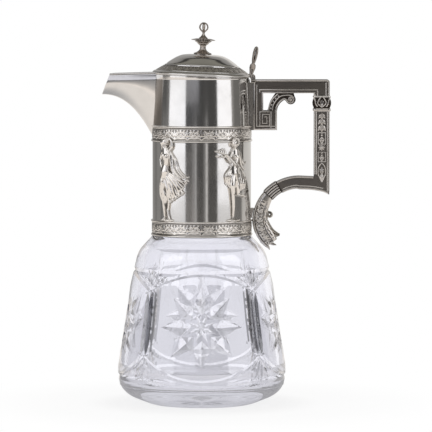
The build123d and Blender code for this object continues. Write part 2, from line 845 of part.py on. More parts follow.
# The outline of the cast frame: leg, key block, top rail and the corner above the grip.
with BuildSketch(Plane.XZ) as frame_outline:
    with BuildLine():
        Polyline(
            (handle_back, key_block_bottom),
            (block_right, key_block_bottom),
            (block_right, key_block_top),
            (leg_inner, key_block_top),
            (leg_inner, rail_bottom),
            (grip_inner, rail_bottom),
            (grip_inner, calyx_top),
            (handle_reach, calyx_top),
            (handle_reach, handle_top),
            (handle_back, handle_top),
            (handle_back, key_block_bottom),
        )
    make_face()

with BuildPart() as frame_panels:
    for face_side in (1, -1):
        with BuildSketch(Plane.XZ.offset(face_side * handle_depth / 2)):
            add(frame_outline.sketch)
            offset(amount=-panel_border, kind=Kind.INTERSECTION)
        extrude(amount=-face_side * panel_depth)


# Room for the lid's knuckle to turn in, and for the loop of the thumbpiece to come to rest.
with BuildPart() as knuckle_room:
    with BuildSketch(hinge_section):
        Circle(knuckle_radius + knuckle_gap)
    extrude(amount=hinge_width / 2 + knuckle_gap, both=True)
    add(hinge_block.part, mode=Mode.SUBTRACT)


def frame_piece(part_mode, rounded=False):
    """A length of the cast frame: part_mode keeps or drops what lies below the rail by the leg."""
    with BuildPart() as piece:
        with BuildSketch(Plane.XZ):
            add(frame_outline.sketch)
            with Locations((handle_back, rail_bottom)):
                Rectangle(key_block_width, bar * 4, align=(Align.MIN, Align.MAX), mode=part_mode)
        extrude(amount=handle_depth / 2, both=True)
        if rounded:
            outer_corner = piece.edges().filter_by(Axis.Y).sort_by(Axis.X)[-2:].sort_by(Axis.Z)[-1]
            fillet(outer_corner, corner_radius)
        add(frame_panels.part, mode=Mode.SUBTRACT)
        add(hinge_block.part, mode=Mode.SUBTRACT)
        add(knuckle_room.part, mode=Mode.SUBTRACT)
    return piece


handle_leg = frame_piece(Mode.INTERSECT)
save(handle_leg, "handle_leg")
handle_rail = frame_piece(Mode.SUBTRACT, rounded=True)
save(handle_rail, "handle_rail")

# A raised square spiral, the Greek key, in the sunk panel on each side of the block.
key_line = 0.9
key_pitch = 1.9
key_left = leg_inner - 1.2
key_right = block_right - panel_border - key_pitch
key_low = key_block_bottom + panel_border + key_pitch
key_high = key_block_top - panel_border
with BuildPart() as greek_key:
    for face_side in (1, -1):
        with BuildSketch(Plane.XZ.offset(face_side * handle_depth / 2)):
            with BuildLine():
                Polyline(
                    (key_left, key_high),
                    (key_left, key_low),
                    (key_right, key_low),
                    (key_right, key_high - key_pitch),
                    (key_left + key_pitch, key_high - key_pitch),
                    (key_left + key_pitch, key_low + key_pitch),
                    (key_right - key_pitch, key_low + key_pitch),
                    (key_right - key_pitch, key_high - 2 * key_pitch),
                )
            trace(line_width=key_line)
        extrude(amount=-face_side * panel_depth)
save(greek_key, "greek_key")

# A scroll bracket springs from the block and curls under the rail.
volute_x = block_right + 10.4
volute_z = rail_bottom - 4.7
volute_radius = 3.7
with BuildPart() as scroll_bracket:
    with BuildSketch(Plane.XZ):
        with BuildLine():
            root = Line((block_right - 7.2, key_block_top), (block_right, key_block_top))
            under = Spline(
                root @ 1,
                (block_right + 1.6, key_block_top + 4.6),
                (volute_x - volute_radius * 0.8, volute_z - volute_radius * 0.3),
                tangents=[(0, 1), (1, 0.25)],
            )
            across = Line(under @ 1, (volute_x, rail_bottom))
            crown = Line(across @ 1, (block_right - 0.8, rail_bottom))
            Spline(
                crown @ 1,
                (block_right - 5.0, key_block_top + 6.6),
                root @ 0,
                tangents=[(-1, -0.7), (-0.1, -1)],
            )
        make_face()
        with Locations((volute_x, volute_z)):
            Circle(volute_radius)
        with Locations((volute_x, (volute_z + rail_bottom) / 2)):
            Rectangle(2 * volute_radius * 0.75, rail_bottom - volute_z)
    extrude(amount=handle_depth / 2 - 0.6, both=True)
    with BuildSketch(Plane.XZ):
        with Locations((volute_x, volute_z)):
            Circle(volute_radius * 0.55)
    extrude(amount=handle_depth / 2 + 0.5, both=True)
save(scroll_bracket, "scroll_bracket")

# The calyx is a flared cup round the bar, with a ring at its foot.
calyx_bottom = calyx_top - calyx_height
calyx_stations = ((0, 0.1), (-4.6, 1.0), (-7.4, 1.0), (-9.2, 0.1))
with BuildPart() as calyx:
    for drop, proud in calyx_stations:
        with BuildSketch(Plane.XY.offset(calyx_top + drop)):
            with Locations((grip_middle, 0)):
                RectangleRounded(grip_width + 2 * proud, handle_depth + 2 * proud, 1.5)
    loft()
    with BuildSketch(Plane.XY.offset(calyx_bottom)):
        with Locations((grip_middle, 0)):
            RectangleRounded(grip_width + calyx_proud, handle_depth + calyx_proud, 1.5)
    extrude(amount=calyx_height + calyx_stations[-1][0])
save(calyx, "calyx")

# The grip hangs from the calyx down to its pointed lower corner; the arm meets it there.
arm_inner = arm_radius - arm_thickness
with BuildPart() as handle_grip:
    with BuildSketch(Plane.XZ):
        with BuildLine():
            side = Polyline(
                (grip_inner, arm_top - 0.6),
                (grip_inner, calyx_bottom),
                (handle_reach, calyx_bottom),
                (handle_reach, grip_bottom),
                (handle_reach - 1.2, grip_bottom),
            )
            Spline(
                side @ 1,
                (grip_inner + 0.8, arm_top - arm_thickness - 1.0),
                tangents=[(-1, 0.45), (-1, 0.12)],
            )
            Line((grip_inner + 0.8, arm_top - arm_thickness - 1.0), side @ 0)
        make_face()
    extrude(amount=handle_depth / 2, both=True)
    for face_side in (1, -1):
        with BuildSketch(Plane.XZ.offset(face_side * handle_depth / 2)):
            with Locations((grip_middle, (arm_top + calyx_bottom) / 2)):
                Rectangle(grip_width - 2 * panel_border, calyx_bottom - arm_top - 2 * panel_border)
        extrude(amount=-face_side * panel_depth, mode=Mode.SUBTRACT)
save(handle_grip, "handle_grip")

# The lower arm is an arch; the clasp grips its shoulder and the leaf hangs from it.
clasp_start = 119.0
clasp_end = 139.0
arm_shoulder_radius = arm_radius - arm_shoulder
with BuildPart() as lower_arm:
    with BuildSketch(Plane.XZ):
        with BuildLine():
            joint = Line((grip_inner + 0.8, arm_top - arm_thickness - 1.0), (grip_inner, arm_top - 0.6))
            rise = Spline(
                joint @ 1,
                arm_point(90, arm_radius),
                tangents=[(-1, 0.08), (-1, 0)],
            )
            crest = ThreePointArc(
                rise @ 1,
                arm_point(104, arm_radius),
                arm_point(clasp_start, arm_radius),
            )
            cut = Line(crest @ 1, arm_point(clasp_start, arm_shoulder_radius - 0.6))
            Spline(
                cut @ 1,
                arm_point(90, arm_inner),
                joint @ 0,
                tangents=[(0.85, 0.5), (1, -0.12)],
            )
        make_face()
    extrude(amount=handle_depth / 2, both=True)
save(lower_arm, "lower_arm")

# The clasp is a block with reeds along both its faces, bent to the arch.
reed_pitch = arm_shoulder / clasp_reeds
clasp_turn = radians(clasp_start)
clasp_section = Plane(
    origin=arm_centre,
    x_dir=(cos(clasp_turn), 0, sin(clasp_turn)),
    z_dir=(-sin(clasp_turn), 0, cos(clasp_turn)),
)
with BuildPart() as reeded_clasp:
    with BuildSketch(clasp_section):
        with Locations(((arm_shoulder_radius + arm_radius) / 2, 0)):
            Rectangle(arm_shoulder, handle_depth - reed_pitch)
        for reed in range(clasp_reeds):
            reed_middle = arm_shoulder_radius + (reed + 0.5) * reed_pitch
            reed_out = handle_depth / 2 + reed_proud - reed_pitch / 2
            with Locations((reed_middle, reed_out), (reed_middle, -reed_out)):
                Circle(reed_pitch * 0.56)
    revolve(axis=Axis(arm_centre, (0, -1, 0)), revolution_arc=clasp_end - clasp_start)
save(reeded_clasp, "reeded_clasp")

# The leaf: its back follows the arch, its tips turn inwards, and a curl stands above them.
with BuildPart() as shoulder_room:
    with BuildSketch(Plane.XZ):
        with BuildLine():
            room_shift = Location((leaf_clearance, 0))
            add([cone.moved(room_shift), shoulder.moved(room_shift)])
            Polyline(
                (shoulder @ 1) + Vector(leaf_clearance, 0),
                (0, glass_height),
                (0, belly_height),
                (cone @ 0) + Vector(leaf_clearance, 0),
            )
        make_face()
    revolve(axis=Axis.Z)


def leaf_point(angle, share):
    """A point of the leaf by its angle on the arch and its share of the leaf's width inwards."""
    return arm_point(angle, arm_radius - share * leaf_width)


with BuildPart() as leaf_terminal:
    with BuildSketch(Plane.XZ):
        with BuildLine():
            root = Line(arm_point(clasp_end, arm_shoulder_radius), arm_point(clasp_end, arm_radius))
            back = Spline(
                root @ 1,
                leaf_point(160, -0.02),
                leaf_point(180, 0),
                leaf_point(203, 0.22),
                leaf_point(222, 0.42),
            )
            tips = Polyline(
                back @ 1,
                leaf_point(221, 0.71),
                leaf_point(226, 0.96),
                leaf_point(217, 1.13),
                leaf_point(212, 1.53),
            )
            front = Spline(
                tips @ 1,
                leaf_point(198, 1.25),
                leaf_point(184, 1.0),
                leaf_point(171, 1.02),
                tangents=[(-1, 0.4), (0.6, 1)],
            )
            waist = Line(front @ 1, leaf_point(158, 0.8))
            Spline(waist @ 1, root @ 0, tangents=[(-0.1, 1), (0.65, 0.75)])
        make_face()
        with Locations(leaf_point(165, 1.05)):
            Circle(0.225 * leaf_width)
    extrude(amount=handle_depth / 2, both=True)
    solder_trim()
    add(shoulder_room.part, mode=Mode.SUBTRACT)
save(leaf_terminal, "leaf_terminal")

with BuildPart() as handle_lug:
    with BuildSketch(Plane.XZ):
        with Locations((sleeve_radius - 2, sleeve_base + 1)):
            Rectangle(arm_point(166, arm_radius)[0] - sleeve_radius + 3, 7.5, align=(Align.MIN, Align.MIN))
    extrude(amount=handle_depth / 2 - 1.5, both=True)
    solder_trim()
    add(leaf_terminal.part, mode=Mode.SUBTRACT)
save(handle_lug, "handle_lug")

with BuildPart() as handle_back_plate:
    with BuildSketch(Plane.XZ):
        Polygon(
            (collar_top_radius - 3, key_block_bottom),
            (handle_back, key_block_bottom),
            (handle_back, handle_top),
            (collar_top_radius - 3, handle_top),
            align=None,
        )
    extrude(amount=handle_depth / 2 + 1.2, both=True)
    solder_trim()
    add(hinge_block.part, mode=Mode.SUBTRACT)
    add(knuckle_room.part, mode=Mode.SUBTRACT)
save(handle_back_plate, "handle_back_plate")

# ---------------------------------------------------------------- figures
# Two cast designs stand on the lower band, a dancing maiden and a piper. Each is made
# facing +X and turned into place. Their own sizes are in parts of the figure's height:
# a station is (height, sideways shift, half width, depth).
figure_parts = 61.0
unit = figure_height / figure_parts
figure_x = sleeve_radius + 0.6 * unit


def body_loft(stations):
    """Lofts a body through ovals stacked from the feet to the neck."""
    ovals = []
    for height, shift, half_width, depth in stations:
        with BuildSketch(Plane.XY.offset(sleeve_base + height * unit)) as oval:
            with Locations((figure_x + depth * 0.35 * unit, shift * unit)):
                Ellipse(depth * unit, half_width * unit)
        ovals.append(oval.sketch)
    loft(ovals)


def figure_point(height, side, out):
    return Vector(figure_x + out * unit, side * unit, sleeve_base + height * unit)


def limb(points, radius):
    """A round limb along a smooth path of (height, sideways, outward) points."""
    with BuildLine() as path:
        Spline(*[figure_point(*point) for point in points])
    with BuildSketch(Plane(origin=path.line @ 0, z_dir=path.line % 0)) as section:
        Circle(radius * unit)
    sweep(section.sketch, path=path.line)
    with Locations(path.line @ 1):
        Sphere(radius * unit * 1.15)


def head(height, side, radius):
    with Locations(figure_point(height, side, 1.6)):
        Sphere(radius * unit)
    with Locations(figure_point(height + 1.2, side - radius * 0.75, 0.6)):
        Sphere(radius * unit * 0.62)


def drapery(points, thickness):
    """A sheet of cloth that lies against the sleeve; points are (sideways, height)."""
    outline = [(side * unit, sleeve_base + height * unit) for side, height in points]
    depth = 4 * unit
    with BuildSketch(Plane.YZ.offset(sleeve_radius - depth)) as cloth:
        with BuildLine():
            Spline(*outline, periodic=True)
        make_face()
    extrude(cloth.sketch, amount=depth + thickness * unit)


def seat_figure():
    """Cuts the figure's back and feet to the sleeve and the bands."""
    split(bisect_by=Plane.XY.offset(sleeve_base), keep=Keep.TOP)
    add(mount_envelope.part, mode=Mode.SUBTRACT)
    add(upper_band_bottom_wire.part, mode=Mode.SUBTRACT)


with BuildPart() as maiden_form:
    body_loft(
        (
            (0, -1.0, 5.6, 2.6),
            (14, -0.4, 5.2, 3.2),
            (27, 0.9, 4.9, 3.6),
            (35.5, 0.2, 3.2, 2.9),
            (43, -0.3, 3.9, 3.4),
            (48.5, 0, 4.0, 2.4),
            (54.0, 0.3, 1.5, 1.5),
        )
    )
    head(55.6, 0.4, 3.3)
    limb(((47.5, -3.4, 1.0), (44, -8.0, 1.6), (50, -10.5, 1.2)), 1.25)
    limb(((47.5, 3.4, 1.0), (51, 8.0, 1.4), (58, 8.6, 0.8)), 1.25)
    drapery(((8.4, 57), (10.8, 46), (10.0, 30), (12.4, 14), (7.6, 6), (5.0, 22), (5.6, 40)), 1.3)
    drapery(((-10.6, 49), (-8.2, 40), (-8.8, 26), (-6.6, 12), (-10.6, 16), (-12.2, 34)), 1.2)
    seat_figure()

with BuildPart() as piper_form:
    body_loft(
        (
            (22, 0.2, 4.6, 3.2),
            (29, 0.4, 4.3, 3.5),
            (36, 0.3, 3.3, 3.0),
            (43, 0, 4.2, 3.5),
            (48.5, 0, 4.4, 2.5),
            (54.0, -0.4, 1.5, 1.5),
        )
    )
    head(55.6, -0.6, 3.3)
    limb(((24, -1.6, 1.0), (12, -2.2, 1.6), (1.4, -2.6, 1.0)), 1.9)
    limb(((24, 2.2, 1.0), (14, 4.2, 1.8), (15.5, 9.0, 1.2)), 1.8)
    limb(((47.5, -3.6, 1.0), (41, -6.6, 2.2), (46.5, -5.6, 3.6)), 1.25)
    limb(((47.5, 3.6, 1.0), (41.5, 5.6, 2.4), (46.5, -1.0, 4.2)), 1.25)
    limb(((52.5, -2.4, 4.4), (47.0, -5.4, 5.0), (42.5, -8.6, 5.2)), 0.7)
    drapery(((5.6, 48), (9.0, 40), (10.2, 24), (8.0, 10), (6.4, 22), (4.8, 36)), 1.3)
    with BuildSketch(Plane.XY.offset(sleeve_base)):
        with Locations(figure_point(0, -2.6, 1.2)):
            Ellipse(3.0 * unit, 3.6 * unit)
    extrude(amount=1.6 * unit)
    seat_figure()

figure_places = (
    ("maiden_front", maiden_form, -135),
    ("piper_front", piper_form, -45),
    ("maiden_back", maiden_form, 45),
    ("piper_back", piper_form, 135),
)
for name, form, azimuth in figure_places:
    with BuildPart() as figure:
        add(form.part.rotate(Axis.Z, azimuth))
    save(figure, name)
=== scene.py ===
import json
import bpy
import bmesh
import numpy as np
from math import sin, cos, tan, exp, pi, radians, atan2, hypot
from mathutils import Vector, Matrix, geometry, kdtree

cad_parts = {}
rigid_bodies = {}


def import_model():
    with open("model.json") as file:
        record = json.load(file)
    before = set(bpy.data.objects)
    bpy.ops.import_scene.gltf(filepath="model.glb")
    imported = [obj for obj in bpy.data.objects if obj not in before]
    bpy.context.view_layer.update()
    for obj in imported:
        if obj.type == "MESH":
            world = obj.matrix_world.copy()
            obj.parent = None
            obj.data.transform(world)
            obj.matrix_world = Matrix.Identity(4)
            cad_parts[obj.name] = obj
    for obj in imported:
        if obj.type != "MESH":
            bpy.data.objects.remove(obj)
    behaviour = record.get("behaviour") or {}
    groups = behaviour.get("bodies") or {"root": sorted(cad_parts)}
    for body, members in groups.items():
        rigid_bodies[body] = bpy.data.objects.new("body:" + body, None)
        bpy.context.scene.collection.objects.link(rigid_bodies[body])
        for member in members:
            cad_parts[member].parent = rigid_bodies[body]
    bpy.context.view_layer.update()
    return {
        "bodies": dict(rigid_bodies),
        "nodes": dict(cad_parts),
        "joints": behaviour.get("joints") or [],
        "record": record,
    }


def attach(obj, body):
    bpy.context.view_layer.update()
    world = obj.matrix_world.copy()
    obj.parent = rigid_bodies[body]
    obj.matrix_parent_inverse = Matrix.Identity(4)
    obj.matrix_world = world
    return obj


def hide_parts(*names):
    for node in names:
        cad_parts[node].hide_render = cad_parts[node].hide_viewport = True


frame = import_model()
nodes = frame["nodes"]
mm = 0.001


def addObject(name, data):
    item = bpy.data.objects.new(name, data)
    bpy.context.collection.objects.link(item)
    return item


# eye level a little above the lid, with a long lens
camera = {"distance": 2.9, "height": 0.325, "side": 0.0108, "aim": 0.1425, "across": 0.3283, "film": 36}


def makeCamera():
    data = bpy.data.cameras.new("jugCamera")
    cam = addObject("jugCamera", data)
    eye = Vector((camera["side"], -camera["distance"], camera["height"]))
    aim = Vector((camera["side"], 0, camera["aim"]))
    cam.location = eye
    cam.rotation_euler = (aim - eye).to_track_quat("-Z", "Y").to_euler()
    data.sensor_width = camera["film"]
    data.lens = camera["film"] * (aim - eye).length / camera["across"]
    data.clip_end = 50
    bpy.context.scene.camera = cam


makeCamera()
bpy.context.scene.view_settings.view_transform = "Standard"
print("camera set")


def feed(tree, socket, value):
    if isinstance(value, bpy.types.NodeSocket):
        tree.links.new(value, socket)
    elif socket.type == "RGBA" and len(value) == 3:
        socket.default_value = (*value, 1)
    else:
        socket.default_value = value


def feedAll(tree, node, inputs):
    for name, value in inputs.items():
        feed(tree, node.inputs[name], value)


def addNode(tree, kind, inputs=None, **settings):
    node = tree.nodes.new(kind)
    for name, value in settings.items():
        setattr(node, name, value)
    feedAll(tree, node, inputs or {})
    return node


def mathNode(tree, operation, *values, clamp=False):
    return addNode(tree, "ShaderNodeMath", dict(enumerate(values)), operation=operation, use_clamp=clamp).outputs[0]


def mixColour(tree, factor, a, b, blend="MIX"):
    return addNode(tree, "ShaderNodeMix", {0: factor, 6: a, 7: b}, data_type="RGBA", blend_type=blend).outputs[2]


def ramp(tree, value, stops, smooth=True):
    node = addNode(tree, "ShaderNodeValToRGB", {0: value})
    node.color_ramp.interpolation = "EASE" if smooth else "LINEAR"
    elements = node.color_ramp.elements
    while len(elements) < len(stops):
        elements.new(0.5)
    for element, (place, colour) in zip(elements, stops):
        element.position = place
        element.color = (*(colour if isinstance(colour, tuple) else (colour,) * 3), 1)
    return node.outputs[0]


def noise(tree, vector, **sizes):
    inputs = {name.capitalize(): value for name, value in sizes.items()}
    return addNode(tree, "ShaderNodeTexNoise", {"Vector": vector, **inputs}).outputs["Fac"]


# two tall softboxes in front, a dark room behind the lens, a pale sweep behind the jug
studio = {
    "sideBoxes": {  # degrees off the lens, distance, width, height, watts
        "leftBox": (-60.5, 1.9, 1.55, 1.9, 8.3),
        "rightBox": (56, 1.9, 1.3, 1.9, 7.4),
    },
    "boxFoot": 0.024,
    "boxColour": (0.955, 0.96, 1),
    "topBox": {"height": 1.7, "size": 1.2, "watts": 5, "north": 0.2},
    # what the metal mirrors at eye level, by degrees round from the lens: right is positive
    "room": [(-180, 0.44), (-160, 0.30), (-143, 0.22), (-128, 0.13), (-96, 0.09), (-86, 0.20), (-82, 0.36),
             (-39, 0.34), (-37, 0.07), (36, 0.07), (38, 0.34), (74, 0.34), (80, 0.30), (84, 0.17), (107, 0.17),
             (110, 0.60), (142, 0.66), (158, 0.70), (180, 0.76)],
    # lighter uprights low down, seen in the plain sleeve
    "uprights": [(-135, 0), (-128, 0.12), (-113, 0.15), (-111, 0.04), (-106, 0.04), (-104, 0.15), (-92, 0.12),
                 (-88, 0), (-23, 0), (-22, 0.12), (-16, 0.14), (-15, 0.34), (-12.5, 0.34), (-11.5, 0),
                 (3.5, 0), (5, 0.13), (9.2, 0.15), (10.2, 0.68), (13.4, 0.68), (14.6, 0)],
    "warmth": [(-125, (1, 0.975, 0.94)), (-60, (0.98, 0.975, 0.97)), (-40, (0.96, 0.97, 1)),
               (0, (1, 0.98, 0.97)), (70, (1, 0.96, 0.91)), (150, (1, 0.97, 0.93))],
    # a raised panel left of the lens
    "panel": [(-40, 0), (-33, 1), (-9, 1), (-4, 0)],
    "panelColour": (0.86, 0.86, 0.93),
    # from behind the lens (0) to the sweep behind the jug (1)
    "ceiling": [(0, (0.80, 0.79, 0.78)), (0.30, (0.74, 0.73, 0.72)), (0.40, (0.16, 0.15, 0.14)),
                (0.5, (0.18, 0.172, 0.15)), (0.74, (0.25, 0.24, 0.21)), (0.765, (0.05, 0.048, 0.045)),
                (0.80, (0.05, 0.048, 0.045)), (0.825, (0.27, 0.26, 0.25)), (0.92, (0.36, 0.35, 0.34)),
                (1, (0.62, 0.62, 0.62))],
    "ground": [(0, (0.30, 0.27, 0.24)), (0.6, (0.36, 0.34, 0.32)), (1, (0.75, 0.74, 0.73))],
    "creamGround": [(-100, 0), (-80, 1), (-14, 1), (-6, 0)],
    "cream": (1.06, 0.98, 0.92),
    # the paler room that shows through the glass
    "clear": [(0, (0.36, 0.36, 0.40)), (0.35, (0.36, 0.36, 0.40)), (0.6, (0.42, 0.42, 0.46)),
              (0.78, (0.78, 0.78, 0.83)), (0.9, (1.10, 1.10, 1.17))],
    "steepTone": (0.20, 0.20, 0.23),
    "steepShare": 0.7,
}


def placeLamp(name, place, **settings):
    light = bpy.data.lights.new(name, "AREA")
    for key, value in settings.items():
        setattr(light, key, value)
    lamp = addObject(name, light)
    lamp.location = place
    lamp.visible_transmission = False
    return lamp


def makeLights():
    for name, (turn, distance, width, height, watts) in studio["sideBoxes"].items():
        place = Vector((sin(radians(turn)), -cos(radians(turn)), 0)) * distance
        place += Vector((0, 0, studio["boxFoot"] + height / 2))
        lamp = placeLamp(name, place, shape="RECTANGLE", size=width, size_y=height, energy=watts,
                         color=studio["boxColour"])
        lamp.rotation_euler = Vector((-place.x, -place.y, 0)).to_track_quat("-Z", "Y").to_euler()
    top = studio["topBox"]
    placeLamp("topBox", (0, top["north"], top["height"]), size=top["size"], energy=top["watts"]).visible_glossy = False


def makeWorld():
    world = bpy.data.worlds.new("studio")
    bpy.context.scene.world = world
    world.use_nodes = True
    tree = world.node_tree
    tree.nodes.clear()
    coords = addNode(tree, "ShaderNodeTexCoord").outputs["Generated"]
    east, north, up = addNode(tree, "ShaderNodeSeparateXYZ", {0: coords}).outputs
    around = mathNode(tree, "ARCTAN2", east, mathNode(tree, "MULTIPLY", north, -1))
    turn = mathNode(tree, "MULTIPLY_ADD", around, 1 / (2 * pi), 0.5)
    lift = mathNode(tree, "MULTIPLY_ADD", up, 0.5, 0.5)
    back = mathNode(tree, "MULTIPLY_ADD", north, 0.5, 0.5)

    def byTurn(name):
        return ramp(tree, turn, [(0.5 + degrees / 360, tone) for degrees, tone in studio[name]], False)

    def window(start, full):
        return ramp(tree, lift, sorted([(start, 0), (full, 1)]))

    uprights = mixColour(tree, window(0.507, 0.499), (0, 0, 0), byTurn("uprights"))
    room = mixColour(tree, 1, byTurn("room"), uprights, "ADD")
    room = mixColour(tree, 1, room, byTurn("warmth"), "MULTIPLY")
    panelHeight = mathNode(tree, "MULTIPLY", window(0.53, 0.555), window(0.86, 0.80))
    panel = mathNode(tree, "MULTIPLY", byTurn("panel"), panelHeight)
    room = mixColour(tree, panel, room, studio["panelColour"])
    room = mixColour(tree, window(0.66, 0.76), room, ramp(tree, back, studio["ceiling"]))
    ground = mixColour(tree, byTurn("creamGround"), ramp(tree, back, studio["ground"]), studio["cream"])
    room = mixColour(tree, window(0.475, 0.42), room, ground)
    steep = mathNode(tree, "MULTIPLY", mathNode(tree, "MAXIMUM", window(0.56, 0.72), window(0.44, 0.30)),
                     studio["steepShare"])
    clear = mixColour(tree, steep, ramp(tree, back, studio["clear"]), studio["steepTone"])
    path = addNode(tree, "ShaderNodeLightPath").outputs
    lit = addNode(tree, "ShaderNodeBackground", {0: mixColour(tree, path["Is Transmission Ray"], room, clear)})
    white = addNode(tree, "ShaderNodeBackground", {0: (1, 1, 1)})
    swap = addNode(tree, "ShaderNodeMixShader", {0: path["Is Camera Ray"], 1: lit.outputs[0], 2: white.outputs[0]})
    addNode(tree, "ShaderNodeOutputWorld", {0: swap.outputs[0]})


floorLook = {
    "rings": [0.25, 0.6, 1.1],
    "steps": 96,
    "drop": 0.0002,
    "matt": [(0.3, 0.93), (0.7, 0.95)],
    "fade": [(0.062, 0.82), (0.095, 0.93), (0.2, 1)],  # how far the floor turns white, by metres from the jug
    "through": 0.95,
    "mirrored": 0.45,
    "mirroredTone": [(0.09, (0.40, 0.40, 0.42)), (0.45, (1.36, 1.26, 1.17))],
    "throughTone": (0.74, 0.74, 0.80),
}


def newMaterial(name):
    material = bpy.data.materials.new(name)
    material.use_nodes = True
    tree = material.node_tree
    return material, tree, tree.nodes["Principled BSDF"], addNode(tree, "ShaderNodeTexCoord").outputs["Object"]


def floorMaterial():
    f = floorLook
    material, tree, shader, coords = newMaterial("paleFloor")
    tree.nodes.remove(shader)
    matt = addNode(tree, "ShaderNodeBsdfDiffuse", {0: ramp(tree, noise(tree, coords, scale=3.0), f["matt"])})
    distance = addNode(tree, "ShaderNodeVectorMath", {0: coords}, operation="LENGTH").outputs["Value"]
    path = addNode(tree, "ShaderNodeLightPath").outputs
    straight = mathNode(tree, "MULTIPLY", ramp(tree, distance, f["fade"]), path["Is Camera Ray"])
    through = mathNode(tree, "MULTIPLY", path["Is Transmission Ray"], f["through"])
    mirrored = mathNode(tree, "MULTIPLY", path["Is Glossy Ray"], f["mirrored"])
    share = mathNode(tree, "MAXIMUM", mathNode(tree, "MAXIMUM", straight, through), mirrored)
    tone = mixColour(tree, path["Is Glossy Ray"], (1, 1, 1), ramp(tree, distance, f["mirroredTone"]))
    tone = mixColour(tree, path["Is Transmission Ray"], tone, f["throughTone"])
    glow = addNode(tree, "ShaderNodeEmission", {0: tone})
    swap = addNode(tree, "ShaderNodeMixShader", {0: share, 1: matt.outputs[0], 2: glow.outputs[0]})
    feed(tree, tree.nodes["Material Output"].inputs[0], swap.outputs[0])
    return material


def makeFloor():
    steps = floorLook["steps"]
    points = [(0, 0, 0)] + [(radius * cos(2 * pi * i / steps), radius * sin(2 * pi * i / steps), 0)
                            for radius in floorLook["rings"] for i in range(steps)]
    faces = [(0, 1 + i, 1 + (i + 1) % steps) for i in range(steps)]
    for start in range(1, 1 + steps * (len(floorLook["rings"]) - 1), steps):
        for i in range(steps):
            j = (i + 1) % steps
            faces.append((start + i, start + steps + i, start + steps + j, start + j))
    mesh = bpy.data.meshes.new("floor")
    mesh.from_pydata(points, [], faces)
    mesh.materials.append(floorMaterial())
    floor = addObject("floor", mesh)
    floor.location.z = -floorLook["drop"]


makeLights()
makeWorld()
makeFloor()
print("studio ready")


# worn plate: bright metal that darkens in its hollows and under painted shade, and clouds over a little
silverWear = {
    "cloud": {"scale": 38, "detail": 5, "roughness": 0.6},
    "clouded": [(0.38, 0), (0.72, 1)],
    "rubScale": (900, 900, 160),
    "rubTurn": (0.5, 0.3, 0.2),
    "rub": {"scale": 1.6, "detail": 3},
    "darkened": [(0.18, 0), (0.75, 1)],
    "rubRoughness": 0.07,
    "shadeRoughness": 0.32,
    "bumpHeight": 0.0001,
}


def wornSilverGroup():
    wear = silverWear
    tree = bpy.data.node_groups.new("wornSilver", "ShaderNodeTree")
    sockets = {"INPUT": {"Color": ("Bright", "Dark"), "Float": ("Hollow", "Clouding", "Smoothness")},
               "OUTPUT": {"Color": ("Color",), "Float": ("Roughness", "Height")}}
    for side, kinds in sockets.items():
        for kind, labels in kinds.items():
            for label in labels:
                tree.interface.new_socket(name=label, in_out=side, socket_type="NodeSocket" + kind)
    given = addNode(tree, "NodeGroupInput").outputs
    coords = addNode(tree, "ShaderNodeTexCoord").outputs["Object"]
    stretch = addNode(tree, "ShaderNodeMapping", {0: coords, "Scale": wear["rubScale"], "Rotation": wear["rubTurn"]})
    rub = noise(tree, stretch.outputs[0], **wear["rub"])
    haze = ramp(tree, noise(tree, coords, **wear["cloud"]), wear["clouded"])
    shade = mathNode(tree, "MAXIMUM", ramp(tree, given["Hollow"], wear["darkened"]),
                     mathNode(tree, "MULTIPLY", haze, given["Clouding"]), clamp=True)
    fine = mathNode(tree, "ADD", given["Smoothness"], mathNode(tree, "MULTIPLY", rub, wear["rubRoughness"]))
    rough = mathNode(tree, "ADD", fine, mathNode(tree, "MULTIPLY", shade, wear["shadeRoughness"]), clamp=True)
    colour = mixColour(tree, shade, given["Bright"], given["Dark"])
    addNode(tree, "NodeGroupOutput", {"Color": colour, "Roughness": rough, "Height": rub})
    return tree


wornSilver = wornSilverGroup()


def silverMaterial(name, bright, dark, clouding, smoothness, bump):
    material, tree, shader, _ = newMaterial(name)
    hollow = addNode(tree, "ShaderNodeAttribute", attribute_name="hollow").outputs["Fac"]
    worn = addNode(tree, "ShaderNodeGroup", {"Bright": bright, "Dark": dark, "Hollow": hollow, "Clouding": clouding,
                                             "Smoothness": smoothness}, node_tree=wornSilver).outputs
    lift = addNode(tree, "ShaderNodeBump", {"Strength": bump, "Distance": silverWear["bumpHeight"],
                                            "Height": worn["Height"]})
    feedAll(tree, shader, {"Metallic": 1, "Base Color": worn["Color"], "Roughness": worn["Roughness"],
                           "Normal": lift.outputs[0]})
    return material


crystalLook = {
    "ior": 1.33,
    "edgeShine": (5.6, 5.6, 5.6),
    "swirl": {"scale": 22, "detail": 2},
    "body": [(0.3, (0.965, 0.965, 0.98)), (0.7, (0.975, 0.975, 0.985))],
    # the dark colour that painted shade on the cut facets mixes toward
    "paintedShadeColour": (0.012, 0.013, 0.018),
    "polish": 0.012,
    "pane": (0.86, 0.86, 0.88),
    "bounces": 2.5,  # light mirrored inside the glass more often than this goes straight out
}


